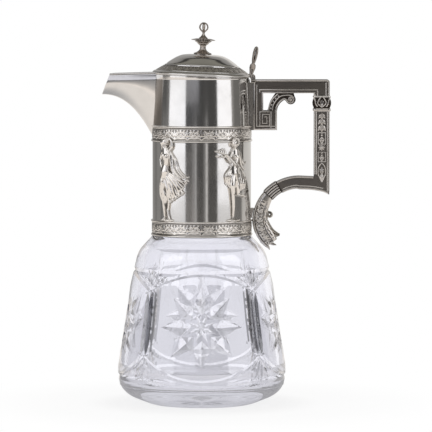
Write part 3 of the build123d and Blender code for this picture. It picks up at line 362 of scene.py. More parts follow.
def glassMaterial():
    look = crystalLook
    material, tree, shader, coords = newMaterial("leadCrystal")
    swirl = noise(tree, coords, **look["swirl"])
    # painted shade: the shaded facets of the cuts turn toward a dark colour
    paintedFacetShade = addNode(tree, "ShaderNodeAttribute", attribute_name="paintedFacetShade").outputs["Fac"]
    body = mixColour(tree, paintedFacetShade, ramp(tree, swirl, look["body"]), look["paintedShadeColour"])
    feedAll(tree, shader, {"Transmission Weight": 1, "IOR": look["ior"], "Specular Tint": look["edgeShine"],
                           "Base Color": body, "Roughness": mathNode(tree, "MULTIPLY", swirl, look["polish"])})
    # lamps shine through the bottle, so that its shadow stays light
    pane = addNode(tree, "ShaderNodeBsdfTransparent", {0: look["pane"]})
    path = addNode(tree, "ShaderNodeLightPath").outputs
    trapped = mathNode(tree, "GREATER_THAN", path["Glossy Depth"], look["bounces"])
    straight = mathNode(tree, "MAXIMUM", path["Is Shadow Ray"], trapped)
    swap = addNode(tree, "ShaderNodeMixShader", {0: straight, 1: shader.outputs[0], 2: pane.outputs[0]})
    feed(tree, tree.nodes["Material Output"].inputs[0], swap.outputs[0])
    return material


cementLook = {
    "grit": {"scale": 700, "detail": 4},
    "tones": [(0.35, (0.55, 0.53, 0.49)), (0.7, (0.78, 0.76, 0.72))],
    "roughness": 0.85,
    "bumpHeight": 0.0003,
}


def cementMaterial():
    material, tree, shader, coords = newMaterial("cement")
    grit = noise(tree, coords, **cementLook["grit"])
    lift = addNode(tree, "ShaderNodeBump", {"Distance": cementLook["bumpHeight"], "Height": grit})
    feedAll(tree, shader, {"Base Color": ramp(tree, grit, cementLook["tones"]), "Normal": lift.outputs[0],
                           "Roughness": cementLook["roughness"]})
    return material


# name, bright metal, dark metal, clouding, roughness, rubbed lines
plate = silverMaterial("polishedPlate", (0.78, 0.77, 0.755), (0.30, 0.27, 0.24), 0.16, 0.07, 0.05)
cast = silverMaterial("castPlate", (0.72, 0.69, 0.65), (0.045, 0.037, 0.031), 0.25, 0.15, 0.12)
relief = silverMaterial("reliefPlate", (0.84, 0.81, 0.77), (0.035, 0.029, 0.024), 0.10, 0.07, 0.06)
bronzed = silverMaterial("agedPlate", (0.46, 0.42, 0.38), (0.030, 0.024, 0.020), 0.35, 0.18, 0.12)
steel = silverMaterial("hingeSteel", (0.42, 0.41, 0.40), (0.10, 0.09, 0.08), 0.4, 0.3, 0.2)
crystal = glassMaterial()
cement = cementMaterial()
bySlot = {"plate_polished": plate, "plate_cast": cast, "hinge_steel": steel, "cut_glass": crystal, "plaster": cement}


def dressNodes():
    for name, node in nodes.items():
        for place in node.material_slots:
            key = place.material.name.split(".")[0] if place.material else ""
            if key in bySlot:
                place.material = bySlot[key]
            else:
                print("no finish for", name, key)


dressNodes()
print("finishes ready")


# helpers for meshes, all in millimetres until makePiece
def cleaned(mesh, weld, thin, outward=True):
    bm = bmesh.new()
    bm.from_mesh(mesh)
    if weld:
        bmesh.ops.remove_doubles(bm, verts=bm.verts, dist=weld)
    bmesh.ops.dissolve_degenerate(bm, edges=bm.edges, dist=thin)
    if outward:
        bmesh.ops.recalc_face_normals(bm, faces=bm.faces)
    bm.to_mesh(mesh)
    bm.free()
    mesh.shade_smooth()


def makePiece(name, points, faces, material, sharp=None, weld=0.0005, outward=True):
    mesh = bpy.data.meshes.new(name)
    mesh.from_pydata([tuple(c * mm for c in p) for p in points], [], faces)
    cleaned(mesh, weld * mm, 1e-8, outward)
    if sharp:
        mesh.set_sharp_from_angle(angle=radians(sharp))
    mesh.materials.append(material)
    return addObject(name, mesh)


def gridFaces(across, up):  # an open sheet, with across + 1 points in each row
    row = across + 1
    return [(j * row + i, j * row + i + 1, (j + 1) * row + i + 1, (j + 1) * row + i)
            for j in range(up) for i in range(across)]


def tubeFaces(rows, around, start=0, looped=False):  # a tube of rings, capped unless it closes on itself
    faces = []
    for i in range(rows if looped else rows - 1):
        low, high = start + i * around, start + (i + 1) % rows * around
        for j in range(around):
            k = (j + 1) % around
            faces.append((low + j, low + k, high + k, high + j))
    if not looped:
        faces.append(tuple(reversed(range(start, start + around))))
        faces.append(tuple(range(start + (rows - 1) * around, start + rows * around)))
    return faces


def signedPower(value, power):
    return abs(value) ** power * (1 if value >= 0 else -1)


def limited(value, low=0, high=1):
    return min(high, max(low, value))


def coordsOf(mesh, kind="co"):
    values = np.empty(len(mesh.vertices) * 3)
    mesh.vertices.foreach_get(kind, values)
    return values.reshape(-1, 3)


def paintPatinaAndShade(piece, values=0.0):  # how dark each point of a silver piece is: patina in hollows, and painted shade where a piece is given it
    mesh = piece.data
    mark = mesh.attributes.get("hollow") or mesh.attributes.new("hollow", "FLOAT", "POINT")
    values = np.broadcast_to(np.asarray(values, dtype=np.float32), len(mesh.vertices))
    mark.data.foreach_set("value", np.ascontiguousarray(values))


def markHollows(piece, rounds=6, gain=1.0, floor=0.0):  # points that lie below their neighbours turn dark
    mesh = piece.data
    count = len(mesh.vertices)
    co, normal = coordsOf(mesh) / mm, coordsOf(mesh, "normal")
    ends = np.empty(len(mesh.edges) * 2, dtype=np.int64)
    mesh.edges.foreach_get("vertices", ends)
    ends = ends.reshape(-1, 2)
    degree = np.bincount(ends.ravel(), minlength=count).reshape(-1, 1)
    soft = co.copy()
    total = np.zeros(count)
    for _ in range(rounds):
        pooled = np.zeros_like(soft)
        for axis in range(3):
            pooled[:, axis] = (np.bincount(ends[:, 0], soft[ends[:, 1], axis], count)
                               + np.bincount(ends[:, 1], soft[ends[:, 0], axis], count))
        soft = 0.4 * soft + 0.6 * pooled / np.maximum(degree, 1)
        total = np.maximum(total, np.sum((soft - co) * normal, axis=1))
    paintPatinaAndShade(piece, np.clip(total * gain + floor, 0, 1))


def settle(piece, body, slot, *replaced):
    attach(piece, body)
    if replaced:
        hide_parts(*replaced)


def softCorners(points, size, steps=3):  # eases the corners of a closed outline
    result = []
    for i, point in enumerate(points):
        p = Vector(point)
        a, b = Vector(points[i - 1]) - p, Vector(points[(i + 1) % len(points)]) - p
        bend = pi - a.angle(b) if a.length and b.length else 0
        if bend < radians(12):
            result.append(point)
            continue
        cut = min(size, 0.42 * a.length, 0.42 * b.length)
        start, end = p + a.normalized() * cut, p + b.normalized() * cut
        for k in range(steps + 1):
            t = k / steps
            result.append(tuple((1 - t) ** 2 * start + 2 * t * (1 - t) * p + t * t * end))
    return result


def bead(r0, z0, r1, z1, out, steps=8):  # half round from one point of a profile to another
    a, b = Vector((r0, z0)), Vector((r1, z1))
    side = Vector(((b - a).y, -(b - a).x)).normalized() * out
    middle = (a + b) / 2
    return [tuple(middle - (b - a) / 2 * cos(pi * k / steps) + side * sin(pi * k / steps)) for k in range(steps + 1)]


def smoothLine(points, steps=8):  # a smooth curve through the points
    result = []
    knots = [Vector(p) for p in points]
    for i, (p1, p2) in enumerate(zip(knots, knots[1:])):
        p0 = knots[i - 1] if i > 0 else 2 * p1 - p2
        p3 = knots[i + 2] if i + 2 < len(knots) else 2 * p2 - p1
        for k in range(steps):
            t = k / steps
            result.append(tuple(0.5 * (2 * p1 + (p2 - p0) * t + (2 * p0 - 5 * p1 + 4 * p2 - p3) * t * t
                                       + (3 * p1 - p0 - 3 * p2 + p3) * t ** 3)))
    return result + [tuple(points[-1])]


def arcLine(centre, radius, start, end, steps=20):
    turns = [radians(start + (end - start) * k / steps) for k in range(steps + 1)]
    return [(centre[0] + radius * cos(turn), centre[1] + radius * sin(turn)) for turn in turns]


def spiral(centre, outer, inner, start, turns, steps=14):
    points = []
    for k in range(steps + 1):
        t = k / steps
        radius = outer * (1 - t) + inner * t
        turn = start + turns * 2 * pi * t
        points.append((centre[0] + radius * cos(turn), centre[1] + radius * sin(turn)))
    return points


def lathePoints(profile, steps, place=None, wave=None):
    points, rings, faces = [], [], []
    for r, z in profile:
        if abs(r) < 1e-6:
            rings.append([len(points)] * steps)
            points.append(Vector((0, 0, z)))
            continue
        rings.append(range(len(points), len(points) + steps))
        for i in range(steps):
            turn = 2 * pi * i / steps
            rr, zz = wave(r, z, turn) if wave else (r, z)
            points.append(Vector((rr * cos(turn), rr * sin(turn), zz)))
    for low, high in zip(rings, rings[1:]):
        for i in range(steps):
            j = (i + 1) % steps
            face = tuple(dict.fromkeys((low[i], low[j], high[j], high[i])))  # a triangle at the poles
            if len(face) > 2:
                faces.append(face)
    return ([place @ p for p in points] if place else points), faces


def lathe(name, profile, material, steps=192, place=None, wave=None, closed=True, sharp=40):
    ring = list(profile) + ([profile[0]] if closed and profile[0][0] > 1e-6 else [])
    points, faces = lathePoints(ring, steps, place, wave)
    return makePiece(name, points, faces, material, sharp)


def meshFrom(item):
    return bpy.data.meshes.new_from_object(item.evaluated_get(bpy.context.evaluated_depsgraph_get()))


def applied(piece):
    old = piece.data
    mesh = meshFrom(piece)
    piece.modifiers.clear()
    piece.data = mesh
    bpy.data.meshes.remove(old)
    mesh.name = piece.name


def modified(piece, kind, sharp=None, **settings):  # adds a modifier and makes the piece plain again
    work = piece.modifiers.new(kind.lower(), kind)
    for name, value in settings.items():
        setattr(work, name, value)
    applied(piece)
    if sharp:
        piece.data.set_sharp_from_angle(angle=radians(sharp))


def cutAway(piece, cutter, sharp):
    modified(piece, "BOOLEAN", sharp, operation="DIFFERENCE", solver="EXACT", object=cutter)
    bpy.data.objects.remove(cutter)


def joinPieces(name, parts):
    bm = bmesh.new()
    for part in parts:
        bm.from_mesh(part.data)
    mesh = bpy.data.meshes.new(name)
    bm.to_mesh(mesh)
    bm.free()
    mesh.shade_smooth()
    mesh.materials.append(parts[0].data.materials[0])
    for part in parts:
        old = part.data
        bpy.data.objects.remove(part)
        bpy.data.meshes.remove(old)
    return addObject(name, mesh)


# relief work: heights of raised strokes, leaves and beads over a flat ground
def strokeHeight(x, y, line, width, height, taper=0.0):
    best = np.zeros_like(x)
    count = len(line) - 1
    for k, ((ax, ay), (bx, by)) in enumerate(zip(line, line[1:])):
        dx, dy = bx - ax, by - ay
        t = np.clip(((x - ax) * dx + (y - ay) * dy) / max(dx * dx + dy * dy, 1e-9), 0, 1)
        away = np.hypot(x - ax - t * dx, y - ay - t * dy)
        w = width * (1 - taper * (k + t) / count)
        best = np.maximum(best, height * (0.55 + 0.45 * w / width) * np.sqrt(np.clip(1 - (away / w) ** 2, 0, 1)))
    return best


def leafHeight(x, y, root, angle, length, width, height):
    c, s = cos(angle), sin(angle)
    u = ((x - root[0]) * c + (y - root[1]) * s) / length
    v = (-(x - root[0]) * s + (y - root[1]) * c) / (width / 2)
    edge = np.clip(np.sin(pi * np.clip(u, 0, 1) ** 0.8), 0, 1)
    inside = np.clip(1 - np.abs(v) / np.maximum(edge, 1e-3), 0, 1) * (edge > 0.02)
    rib = 1 - 0.55 * np.exp(-(v / 0.16) ** 2)
    return height * np.sqrt(inside) * rib


def beadHeight(x, y, centre, spread, height):
    return height * np.sqrt(np.clip(1 - ((x - centre[0]) ** 2 + (y - centre[1]) ** 2) / spread, 0, 1))


def reliefHeight(x, y, strokes=(), leaves=(), beads=()):
    return np.maximum.reduce([np.zeros_like(x), *(strokeHeight(x, y, *stroke) for stroke in strokes),
                              *(leafHeight(x, y, *leaf) for leaf in leaves),
                              *(beadHeight(x, y, *bead) for bead in beads)])


# the bottle, in one piece of cut crystal
glass = {
    "side": [(37.5, 128.2), (39.6, 125.4), (43.2, 121.6), (46.6, 117.6), (49, 112.6), (50.5, 106.5),
             (52.2, 99), (54.3, 90), (56.2, 77), (58.5, 61), (61, 47), (62.9, 35), (63.8, 26.5),
             (63.2, 19.5), (62.3, 15)],
    "heel": [(62.3, 15), (60.6, 12), (58.2, 9.2), (55.4, 7), (52, 5.2), (47, 3.2), (41.5, 1), (38, 0)],
    "neck": [(37.5, 128.2), (36.2, 128.6), (33.6, 130), (33.05, 132), (33.05, 199.4)],
    "lip": [(33.05, 199.4), (32, 200.4), (30.2, 200.4), (29.05, 199.4)],
    "throat": [(29.05, 199.4), (29.05, 134), (30, 129.5)],
    "floor": [(57.2, 27), (56.6, 21), (54, 16.2), (49, 13.8), (40, 13.1), (20, 13), (0, 13)],
    "foot": [(38, 0), (36.5, 0.25), (34.8, 1.6), (33, 1.9), (27, 1.9), (20, 1.9), (13, 1.9), (7, 1.9), (2, 1.9),
             (0, 1.9)],
    "footRays": 24,
    "footReach": 33,
    "footDepth": 1.7,
    "wall": 6,
    "starRadius": 31.3,
    "starHeight": 62.2,
    "lowNode": 39.5,
    "highNode": 89.2,
    "crest": 102,
    "dip": 21.5,
    "grooveWidth": 3.9,
    "grooveDepth": 1,
    "fluteWidth": 4.1,
    "fluteDepth": 1.2,
    "paintedFluteShades": {-1: (0.985, 0.97), 1: (0.70, 0.74)},  # painted shade: how dark the two facets of each flute are
    "flat": 57,  # radius at which the side is drawn out flat
    "cutFrom": 14.6,
    "cutTo": 111,
    "aroundPanel": 44,
    "grid": 2.3,
    "hair": 1e-4,  # a width of next to nothing, where a cut runs out
}
panelEdge = pi / 4 * glass["flat"]


class Cut:

    def __init__(self, line, widths, slope=0.55, paintedShades=(0, 0)):
        self.line = [Vector(p) for p in line]
        self.widths = widths
        self.slope = slope
        self.paintedShades = paintedShades  # painted shade: how dark its left and right facets are
        ends = zip([self.line[0]] + self.line, self.line[1:] + [self.line[-1]])
        sides = [Vector((a.y - b.y, b.x - a.x)).normalized() for a, b in ends]
        self.left = [p + s * w / 2 for p, s, w in zip(self.line, sides, widths)]
        self.right = [p - s * w / 2 for p, s, w in zip(self.line, sides, widths)]
        self.reach = max(abs(p.x) for p in self.line)

    def measure(self, x, y):  # how deep it is, and on which hand of its middle
        best, hand = np.zeros_like(x), np.zeros_like(x)
        for k, (a, b) in enumerate(zip(self.line, self.line[1:])):
            d = b - a
            t = ((x - a.x) * d.x + (y - a.y) * d.y) / max(d.length_squared, 1e-9)
            ok = (t > -0.02) & (t < 1.02)
            t = np.clip(t, 0, 1)
            away = np.hypot(x - a.x - t * d.x, y - a.y - t * d.y)
            w = (self.widths[k] * (1 - t) + self.widths[k + 1] * t) / 2
            here = np.where(ok, np.clip(w - away, 0, None) * self.slope, 0)
            hand = np.where(here > best, (x - a.x) * d.y - (y - a.y) * d.x, hand)
            best = np.maximum(best, here)
        return best, hand

    def mirrored(self):  # the half of it that the next panel carries
        across = 2 * panelEdge
        return Cut([((across if p.x > 0 else -across) - p.x, p.y) for p in self.line], self.widths, self.slope)


# painted shade: darkens the facet on one side of a cut, by how the cut lies against a fixed light direction
def paintedSideShade(way, strength):
    share = Vector((way.y, -way.x)).dot(Vector((0.55, -0.83)))
    return (strength * max(0, -share), strength * max(0, share))


def mitre(a, b, width, slope):  # a cut that is fattest in its middle
    a, b = Vector(a), Vector(b)
    shape = {0: 0, 0.1: 0.42, 0.25: 0.8, 0.5: 1, 0.75: 0.8, 0.9: 0.42, 1: 0}
    return Cut([a.lerp(b, t) for t in shape], [width * s + glass["hair"] for s in shape.values()], slope,
               paintedSideShade((b - a).normalized(), 0.62))


def starCuts():
    hair, reach = glass["hair"], glass["starRadius"]
    centre = Vector((0, glass["starHeight"]))
    notch = 0.541 * reach
    cuts = []
    for k in range(8):  # the eight long rays, widest at the notches
        out = Vector((sin(pi / 4 * k), cos(pi / 4 * k)))
        line = [centre + out * 0.30 * reach, centre + out * notch * cos(pi / 8), centre + out * reach]
        cuts.append(Cut(line, [hair, 2 * notch * sin(pi / 8) - 0.3, hair], 0.36, paintedSideShade(out, 0.34)))
    for k in range(8):  # small star in the middle
        turn = pi / 4 * (k + 0.5)
        out = Vector((sin(turn), cos(turn)))
        line = [centre + out * 0.3, centre + out * 0.14 * reach, centre + out * 0.37 * reach]
        cuts.append(Cut(line, [0.2, 3, hair], 0.42, paintedSideShade(out, 0.30)))
        for side in (-1, 1):  # fine crossed lines between the rays
            skew = Vector((sin(turn + side * 0.55), cos(turn + side * 0.55)))
            for j in range(3):
                start = centre + out * (0.50 + 0.075 * j) * reach
                line = [start + skew * share for share in (-2.6, 0, 2.6)]
                # painted shade on both facets of the fine lines, darker on the left
                cuts.append(Cut(line, [hair, 0.9, hair], 0.5, (0.2, 0.1)))
    return cuts


def panelCuts():
    g = glass
    cuts = starCuts()
    steps = 22
    for low, high in ((g["highNode"], g["crest"]), (g["lowNode"], g["dip"])):  # the two bowed grooves
        us = [-panelEdge + 2 * panelEdge * k / steps for k in range(steps + 1)]
        line = [(u, low + (high - low) * (1 - (u / panelEdge) ** 2)) for u in us]
        # painted shade on the lower facet of each groove
        cuts.append(Cut(line, [g["grooveWidth"]] * (steps + 1), 2 * g["grooveDepth"] / g["grooveWidth"], (0, 0.10)))
    for side in (-1, 1):  # fans above and below the flutes
        for end, up in ((g["highNode"], 1), (g["lowNode"], -1)):
            base = Vector((side * panelEdge, end))
            for angle, length in ((0, 19), (0.36, 17.5), (0.74, 14)):
                way = Vector((sin(angle) * -side, up * cos(angle)))
                cuts.append(mitre(base + way * 1.5, base + way * length, 2.9, 0.62))
            for tilt in (0.5, -0.5):
                cuts.append(mitre(base, base + Vector((cos(tilt) * -side, sin(tilt))) * 6.5, 1.8, 0.6))
    low, high = g["lowNode"] + 1.5, g["highNode"] - 1.5
    shape = {0: 0.05, 0.06: 0.55, 0.16: 1, 0.5: 1, 0.84: 1, 0.94: 0.55, 1: 0.05}
    for side, paintedShades in g["paintedFluteShades"].items():  # half of each upright pair of flutes
        line = [(side * (panelEdge - g["fluteWidth"] * 0.52), low + (high - low) * t) for t in shape]
        cuts.append(Cut(line, [g["fluteWidth"] * w for w in shape.values()], 2 * g["fluteDepth"] / g["fluteWidth"],
                        paintedShades))
    return cuts


def onPanel(line):  # the part of a line between the panel's edges
    kept = []
    for a, b in zip(line, line[1:]):
        if abs(a.x) <= panelEdge and abs(b.x) <= panelEdge:
            kept += [b] if kept else [a, b]
        elif abs(a.x) <= panelEdge or abs(b.x) <= panelEdge:
            limit = panelEdge if max(a.x, b.x) > panelEdge else -panelEdge
            crossing = a.lerp(b, (limit - a.x) / (b.x - a.x))
            kept = (kept or [a]) + [crossing] if abs(a.x) <= panelEdge else [crossing, b]
    return kept


def panelMesh(cuts):  # one flat panel, with an edge along every line of the cutting
    low, high, grid = glass["cutFrom"], glass["cutTo"], glass["grid"]
    around, rows = glass["aroundPanel"], int((high - low) / grid)
    coords, edges = [], []

    def addLine(points):
        for i, p in enumerate(points):
            p = Vector((limited(p.x, -panelEdge, panelEdge), p.y))
            coords.append(p)
            if i and (coords[-2] - p).length > 1e-4:
                edges.append((len(coords) - 2, len(coords) - 1))

    border = [Vector((-panelEdge + 2 * panelEdge * k / around, low)) for k in range(around + 1)]
    border += [Vector((panelEdge, low + (high - low) * k / rows)) for k in range(1, rows + 1)]
    border += [Vector((panelEdge - 2 * panelEdge * k / around, high)) for k in range(1, around + 1)]
    border += [Vector((-panelEdge, high - (high - low) * k / rows)) for k in range(1, rows + 1)]
    addLine(border)
    for cut in cuts:
        lines = (cut.line, cut.left, cut.right)
        clipped = max(abs(p.x) for line in lines for p in line) > panelEdge + 0.01
        for line in lines:
            addLine(onPanel(line) if clipped else line)
    xs = np.arange(-panelEdge + grid, panelEdge - 0.5, grid)
    for i, z in enumerate(np.arange(low + grid, high - 0.5, grid)):
        for x in xs + (grid / 2 if i % 2 else 0):
            if abs(x) < panelEdge - 0.8:
                coords.append(Vector((x, z)))
    result = geometry.delaunay_2d_cdt(coords, edges, [], 1, 0.03)
    return np.array([tuple(p) for p in result[0]]), [tuple(f) for f in result[2]]


# carries the painted shade of the cut facets onto the faces of the bottle
def paintFacetShade(bottle, middle, paintedShade):
    g = glass
    tree = kdtree.KDTree(len(middle))
    for i, (x, y) in enumerate(middle):
        tree.insert((x, y, 0), i)
    tree.balance()
    values = np.zeros(len(bottle.data.polygons), dtype=np.float32)
    for i, face in enumerate(bottle.data.polygons):
        c = face.center / mm
        if g["cutFrom"] < c.z < g["cutTo"] and hypot(c.x, c.y) > np.interp(c.z, (14, 26, 111), (50, 55, 45)):
            turn = (atan2(c.y, c.x) + pi / 2 + pi / 4) % (pi / 2) - pi / 4
            near = tree.find((turn * g["flat"], c.z, 0))
            values[i] = paintedShade[near[1]] if near[2] < 1.2 else 0
    bottle.data.attributes.new("paintedFacetShade", "FLOAT", "FACE").data.foreach_set("value", values)


def buildBottle():
    g = glass
    side = smoothLine(g["side"], 6)
    heights, radii = (np.array([p[k] for p in side])[::-1] for k in (1, 0))
    slopes = np.gradient(radii, heights)
    low, high = g["cutFrom"], g["cutTo"]
    cuts = panelCuts()
    flat, faces = panelMesh(cuts)
    depth = np.zeros(len(flat))
    for cut in cuts:
        for part in [cut] + ([cut.mirrored()] if cut.reach > panelEdge - 8 else []):
            depth = np.maximum(depth, part.measure(flat[:, 0], flat[:, 1])[0])
    middle = np.array([np.mean([flat[i] for i in f], axis=0) for f in faces])
    # each face takes the painted shade of the facet it lies on, in the deepest cut there
    deepest, paintedShade = np.full(len(faces), 0.02), np.zeros(len(faces))
    for cut in cuts:
        found, hand = cut.measure(middle[:, 0], middle[:, 1])
        paintedShade = np.where(found > deepest, np.where(hand < 0, *cut.paintedShades), paintedShade)
        deepest = np.maximum(deepest, found)
    depth *= np.clip(flat[:, 1] - low, 0, 1) * np.clip(high - flat[:, 1], 0, 1)  # it runs out at both ends
    r, slope = (np.interp(flat[:, 1], heights, values) for values in (radii, slopes))
    length = np.sqrt(1 + slope ** 2)
    r = r - depth / length
    z = flat[:, 1] + depth * slope / length
    points, allFaces = [], []
    for panel in range(4):
        turn = flat[:, 0] / g["flat"] - pi / 2 + panel * pi / 2
        allFaces += [tuple(len(points) + i for i in f) for f in faces]
        points += list(zip(r * np.cos(turn), r * np.sin(turn), z))

    def addRing(profile, steps=g["aroundPanel"] * 4, wave=None):
        ringPoints, ringFaces = lathePoints(profile, steps, Matrix.Rotation(-3 * pi / 4, 4, "Z"), wave)
        allFaces.extend(tuple(len(points) + i for i in f) for f in ringFaces)
        points.extend(tuple(p) for p in ringPoints)

    def starFoot(r, z, turn):
        share = abs(((turn / (2 * pi) * g["footRays"]) % 1) - 0.5) * 2  # 1 along each ray of the cut under the foot
        lift = g["footDepth"] * max(0, share - 0.25) * sin(pi * min(1, r / g["footReach"]))
        return r, z + (lift if 1 < r < g["footReach"] else 0)

    def sideRadius(z):
        return float(np.interp(z, heights, radii))

    upper = [p for p in side if p[1] > high + 0.3]
    addRing([(sideRadius(high), high)] + upper[::-1] + smoothLine(g["neck"], 3)[1:])
    addRing([(sideRadius(low), low)] + [p for p in smoothLine(g["heel"], 5) if p[1] < low - 0.2])
    addRing(g["foot"], g["aroundPanel"] * 8, starFoot)
    wall = [(r - g["wall"], z) for r, z in side if z > 30][3:]
    addRing(smoothLine(g["throat"], 3)[:-1] + g["throat"][2:] + wall + smoothLine([wall[-1]] + g["floor"], 4)[1:])
    addRing(g["lip"])
    bottle = makePiece("cutBottle", points, allFaces, crystal, 9, weld=0.02)
    paintFacetShade(bottle, middle, paintedShade)
    settle(bottle, "jug", "cut_glass", "glass_body")


buildBottle()
print("bottle cut")


# the neck mount: sleeve, bands of repeated scrollwork, collar
mount = {
    "sleeve": 37.35,
    "sleeveHeights": (139.9, 199.9),
    "sheet": 0.9,
    "bands": {  # foot, top and radius
        "lower": (128.2, 140.2, 37.9),
        "upper": (199.5, 212, 37.75),
    },
    "wire": 0.75,
    "wireBulge": 0.78,
    "collar": [(37.2, 212), (36.9, 222), (36.45, 233), (35.8, 246.8)],
    "rimTop": 251,
    "rimLean": 247.5,  # above this the rim follows the leaning lid
    "repeats": 22,
    "relief": 0.24,
    "seam": 249.4,
    "tilt": 2.5,
    "gap": 0.3,
    "stipple": 0.06,
    "grain": 0.21,
    "paintedShadeFrom": 140,  # degrees round from the handle, past which the collar gets painted shade from the spout
}
lidPlace = Matrix.Translation((0, 0, mount["seam"])) @ Matrix.Rotation(radians(mount["tilt"]), 4, "Y")


def scrollMotif(x, y, half):
    ax = np.abs(x)
    scroll = spiral((half * 0.56, 0.55), 2.1, 0.35, -2.5, 1.35)
    height = reliefHeight(
        ax, y,
        strokes=[(scroll, 0.42, 1, 0.3), ([(0.25, -3.7), (1.1, -2.9), (2.2, -2.6), (half, -2.9)], 0.42, 0.9),
                 ([(half * 0.56, -1.5), (half * 0.8, -1.9), (half, -1.2)], 0.36, 0.8, 0.3)],
        leaves=[((0.05, -1.3), 1.57, 4.9, 1.7, 1.1), ((0.2, -1.5), 1.12, 4, 1.25, 0.95),
                ((0.2, -1.5), 0.72, 2.6, 1.25, 0.95), ((0, -1.8), -1.2, 2.2, 1.2, 0.9),
                ((half, 0.9), 1.75, 3.1, 1.4, 0.95), ((half * 0.62, 2.2), 2.35, 2, 1, 0.8)],
        beads=[(centre, 0.42, 1) for centre in ((half, -0.3), (half * 0.56, 0.55), (0, -3.6))])
    return height * np.clip((4.65 - np.abs(y)) / 0.5, 0, 1)


def scrollUnit(name, radius, base, tall):  # one repeat of a band, which the ring tree carries round
    m = mount
    span = 2 * pi * radius / m["repeats"]
    nx, ny = int(span / m["grain"]), int(tall / m["grain"])
    x, y = np.meshgrid(np.linspace(-span / 2, span / 2, nx + 1), np.linspace(-tall / 2, tall / 2, ny + 1))
    height = scrollMotif(x, y, span / 2)
    stipple = m["stipple"] * (np.sin(x * 13.1 + 2 * np.sin(y * 9.7)) * np.sin(y * 12.3 + 2 * np.sin(x * 11.9)))
    ground = np.where(height < 0.1, stipple * np.clip((span / 2 - np.abs(x)) / 0.3, 0, 1), 0)
    r = radius + m["relief"] * (height * 0.8 + ground)
    turn = x / radius - pi / 2
    points = list(zip((r * np.cos(turn)).ravel(), (r * np.sin(turn)).ravel(), (base + tall / 2 + y).ravel()))
    unit = makePiece(name, points, gridFaces(nx, ny), cast, weld=0, outward=False)
    paintPatinaAndShade(unit, np.clip(0.52 - height + ground, 0, 1).ravel())
    return unit


def ringTree():
    tree = bpy.data.node_groups.new("motifRing", "GeometryNodeTree")
    sockets = {}
    for label, side, kind in (("Motif", "INPUT", "Geometry"), ("Repeats", "INPUT", "Int"),
                              ("Finish", "INPUT", "Material"), ("Ring", "OUTPUT", "Geometry")):
        socket = tree.interface.new_socket(name=label, in_out=side, socket_type="NodeSocket" + kind)
        sockets[label] = socket.identifier
    given = addNode(tree, "NodeGroupInput").outputs
    line = addNode(tree, "GeometryNodeMeshLine", {"Count": given["Repeats"], "Offset": (0, 0, 0)})
    index = addNode(tree, "GeometryNodeInputIndex").outputs[0]
    turn = mathNode(tree, "DIVIDE", mathNode(tree, "MULTIPLY", index, 2 * pi), given["Repeats"])
    spin = addNode(tree, "ShaderNodeCombineXYZ", {2: turn})
    place = addNode(tree, "GeometryNodeInstanceOnPoints", {"Points": line.outputs[0], "Instance": given["Motif"],
                                                           "Rotation": spin.outputs[0]})
    real = addNode(tree, "GeometryNodeRealizeInstances", {0: place.outputs[0]})
    join = addNode(tree, "GeometryNodeMergeByDistance", {0: real.outputs[0], "Distance": 0.00002})
    dress = addNode(tree, "GeometryNodeSetMaterial", {0: join.outputs[0], "Material": given["Finish"]})
    addNode(tree, "NodeGroupOutput", {0: dress.outputs[0]})
    return tree, sockets


motifRing, motifSockets = ringTree()


def repeatRound(piece, repeats, material):
    work = piece.modifiers.new("repeat", "NODES")
    work.node_group = motifRing
    work[motifSockets["Repeats"]] = repeats
    work[motifSockets["Finish"]] = material
    applied(piece)
    piece.data.shade_smooth()
    return piece


def bandMouldings(name, base, top, radius):
    w, bulge = mount["wire"], mount["wireBulge"]
    inner, face = mount["sleeve"] - 0.3, radius - 0.1
    foot = base + 2 * w
    groove = [(radius - 0.5, foot), (radius - 0.5, foot + 0.24), (radius + 0.10, foot + 0.38),
              (radius + 0.05, foot + 0.62)]
    flipped = [(r, base + top - z) for r, z in reversed(groove)]
    body = [(radius - 0.12, foot + 0.75), (radius - 0.12, top - 2 * w - 0.75)]
    ring = [(inner, base)] + bead(face, base, face, foot, bulge) + groove + body + flipped \
        + bead(face, top - 2 * w, face, top, bulge) + [(inner, top)]
    piece = lathe(name, ring, relief, 240, sharp=50)
    spots = [(hypot(x, y), z) for x, y, z in coordsOf(piece.data) / mm]
    # the groove is painted dark like the other hollows, and the lower edge of each band gets a painted shadow line
    paintPatinaAndShade(piece, [0.95 if radius - 0.6 < r < radius - 0.3 or z < base + 0.3 else 0.0 for r, z in spots])
    return piece


def buildMount():
    m = mount
    low, high = m["sleeveHeights"]
    outside, inside = m["sleeve"], m["sleeve"] - m["sheet"]
    sleeve = lathe("neckTube", [(outside, low), (outside, high), (inside, high), (inside, low)], plate, 256)
    settle(sleeve, "jug", "plate_polished", "neck_sleeve")
    edge = 2 * m["wire"] + 0.7
    for side, (base, top, radius) in m["bands"].items():
        unit = scrollUnit(side + "BandScrolls", radius - 0.1, base + edge, top - base - 2 * edge)
        settle(repeatRound(unit, m["repeats"], relief), "jug", "plate_cast", side + "_band")
        settle(bandMouldings(side + "BandMouldings", base, top, radius), "jug", "plate_cast",
               side + "_band_bottom_wire", side + "_band_top_wire")


# the spout: a thin curved sheet standing on the collar
spout = {
    "rootX": -35.8,
    "tipX": -70,
    "topZ": 250.66,
    "topDrop": 0.9,
    "keelX": -37.2,
    "rootDepth": 47.5,
    "lip": (-75.6, 235),
    "swoop": 2.3,
    "rootHalf": 10.5,
    "mouthHalf": 6.6,
    "strip": 4.2,
    "stripShare": 0.16,
    "sheet": 0.9,
    "along": 40,
    "across": 44,
    "bite": 0.35,  # how far it stands into the collar
    "cutter": {"shares": [-0.5, -0.2, 0, 0.2, 0.4], "around": 32, "lift": 3},
}


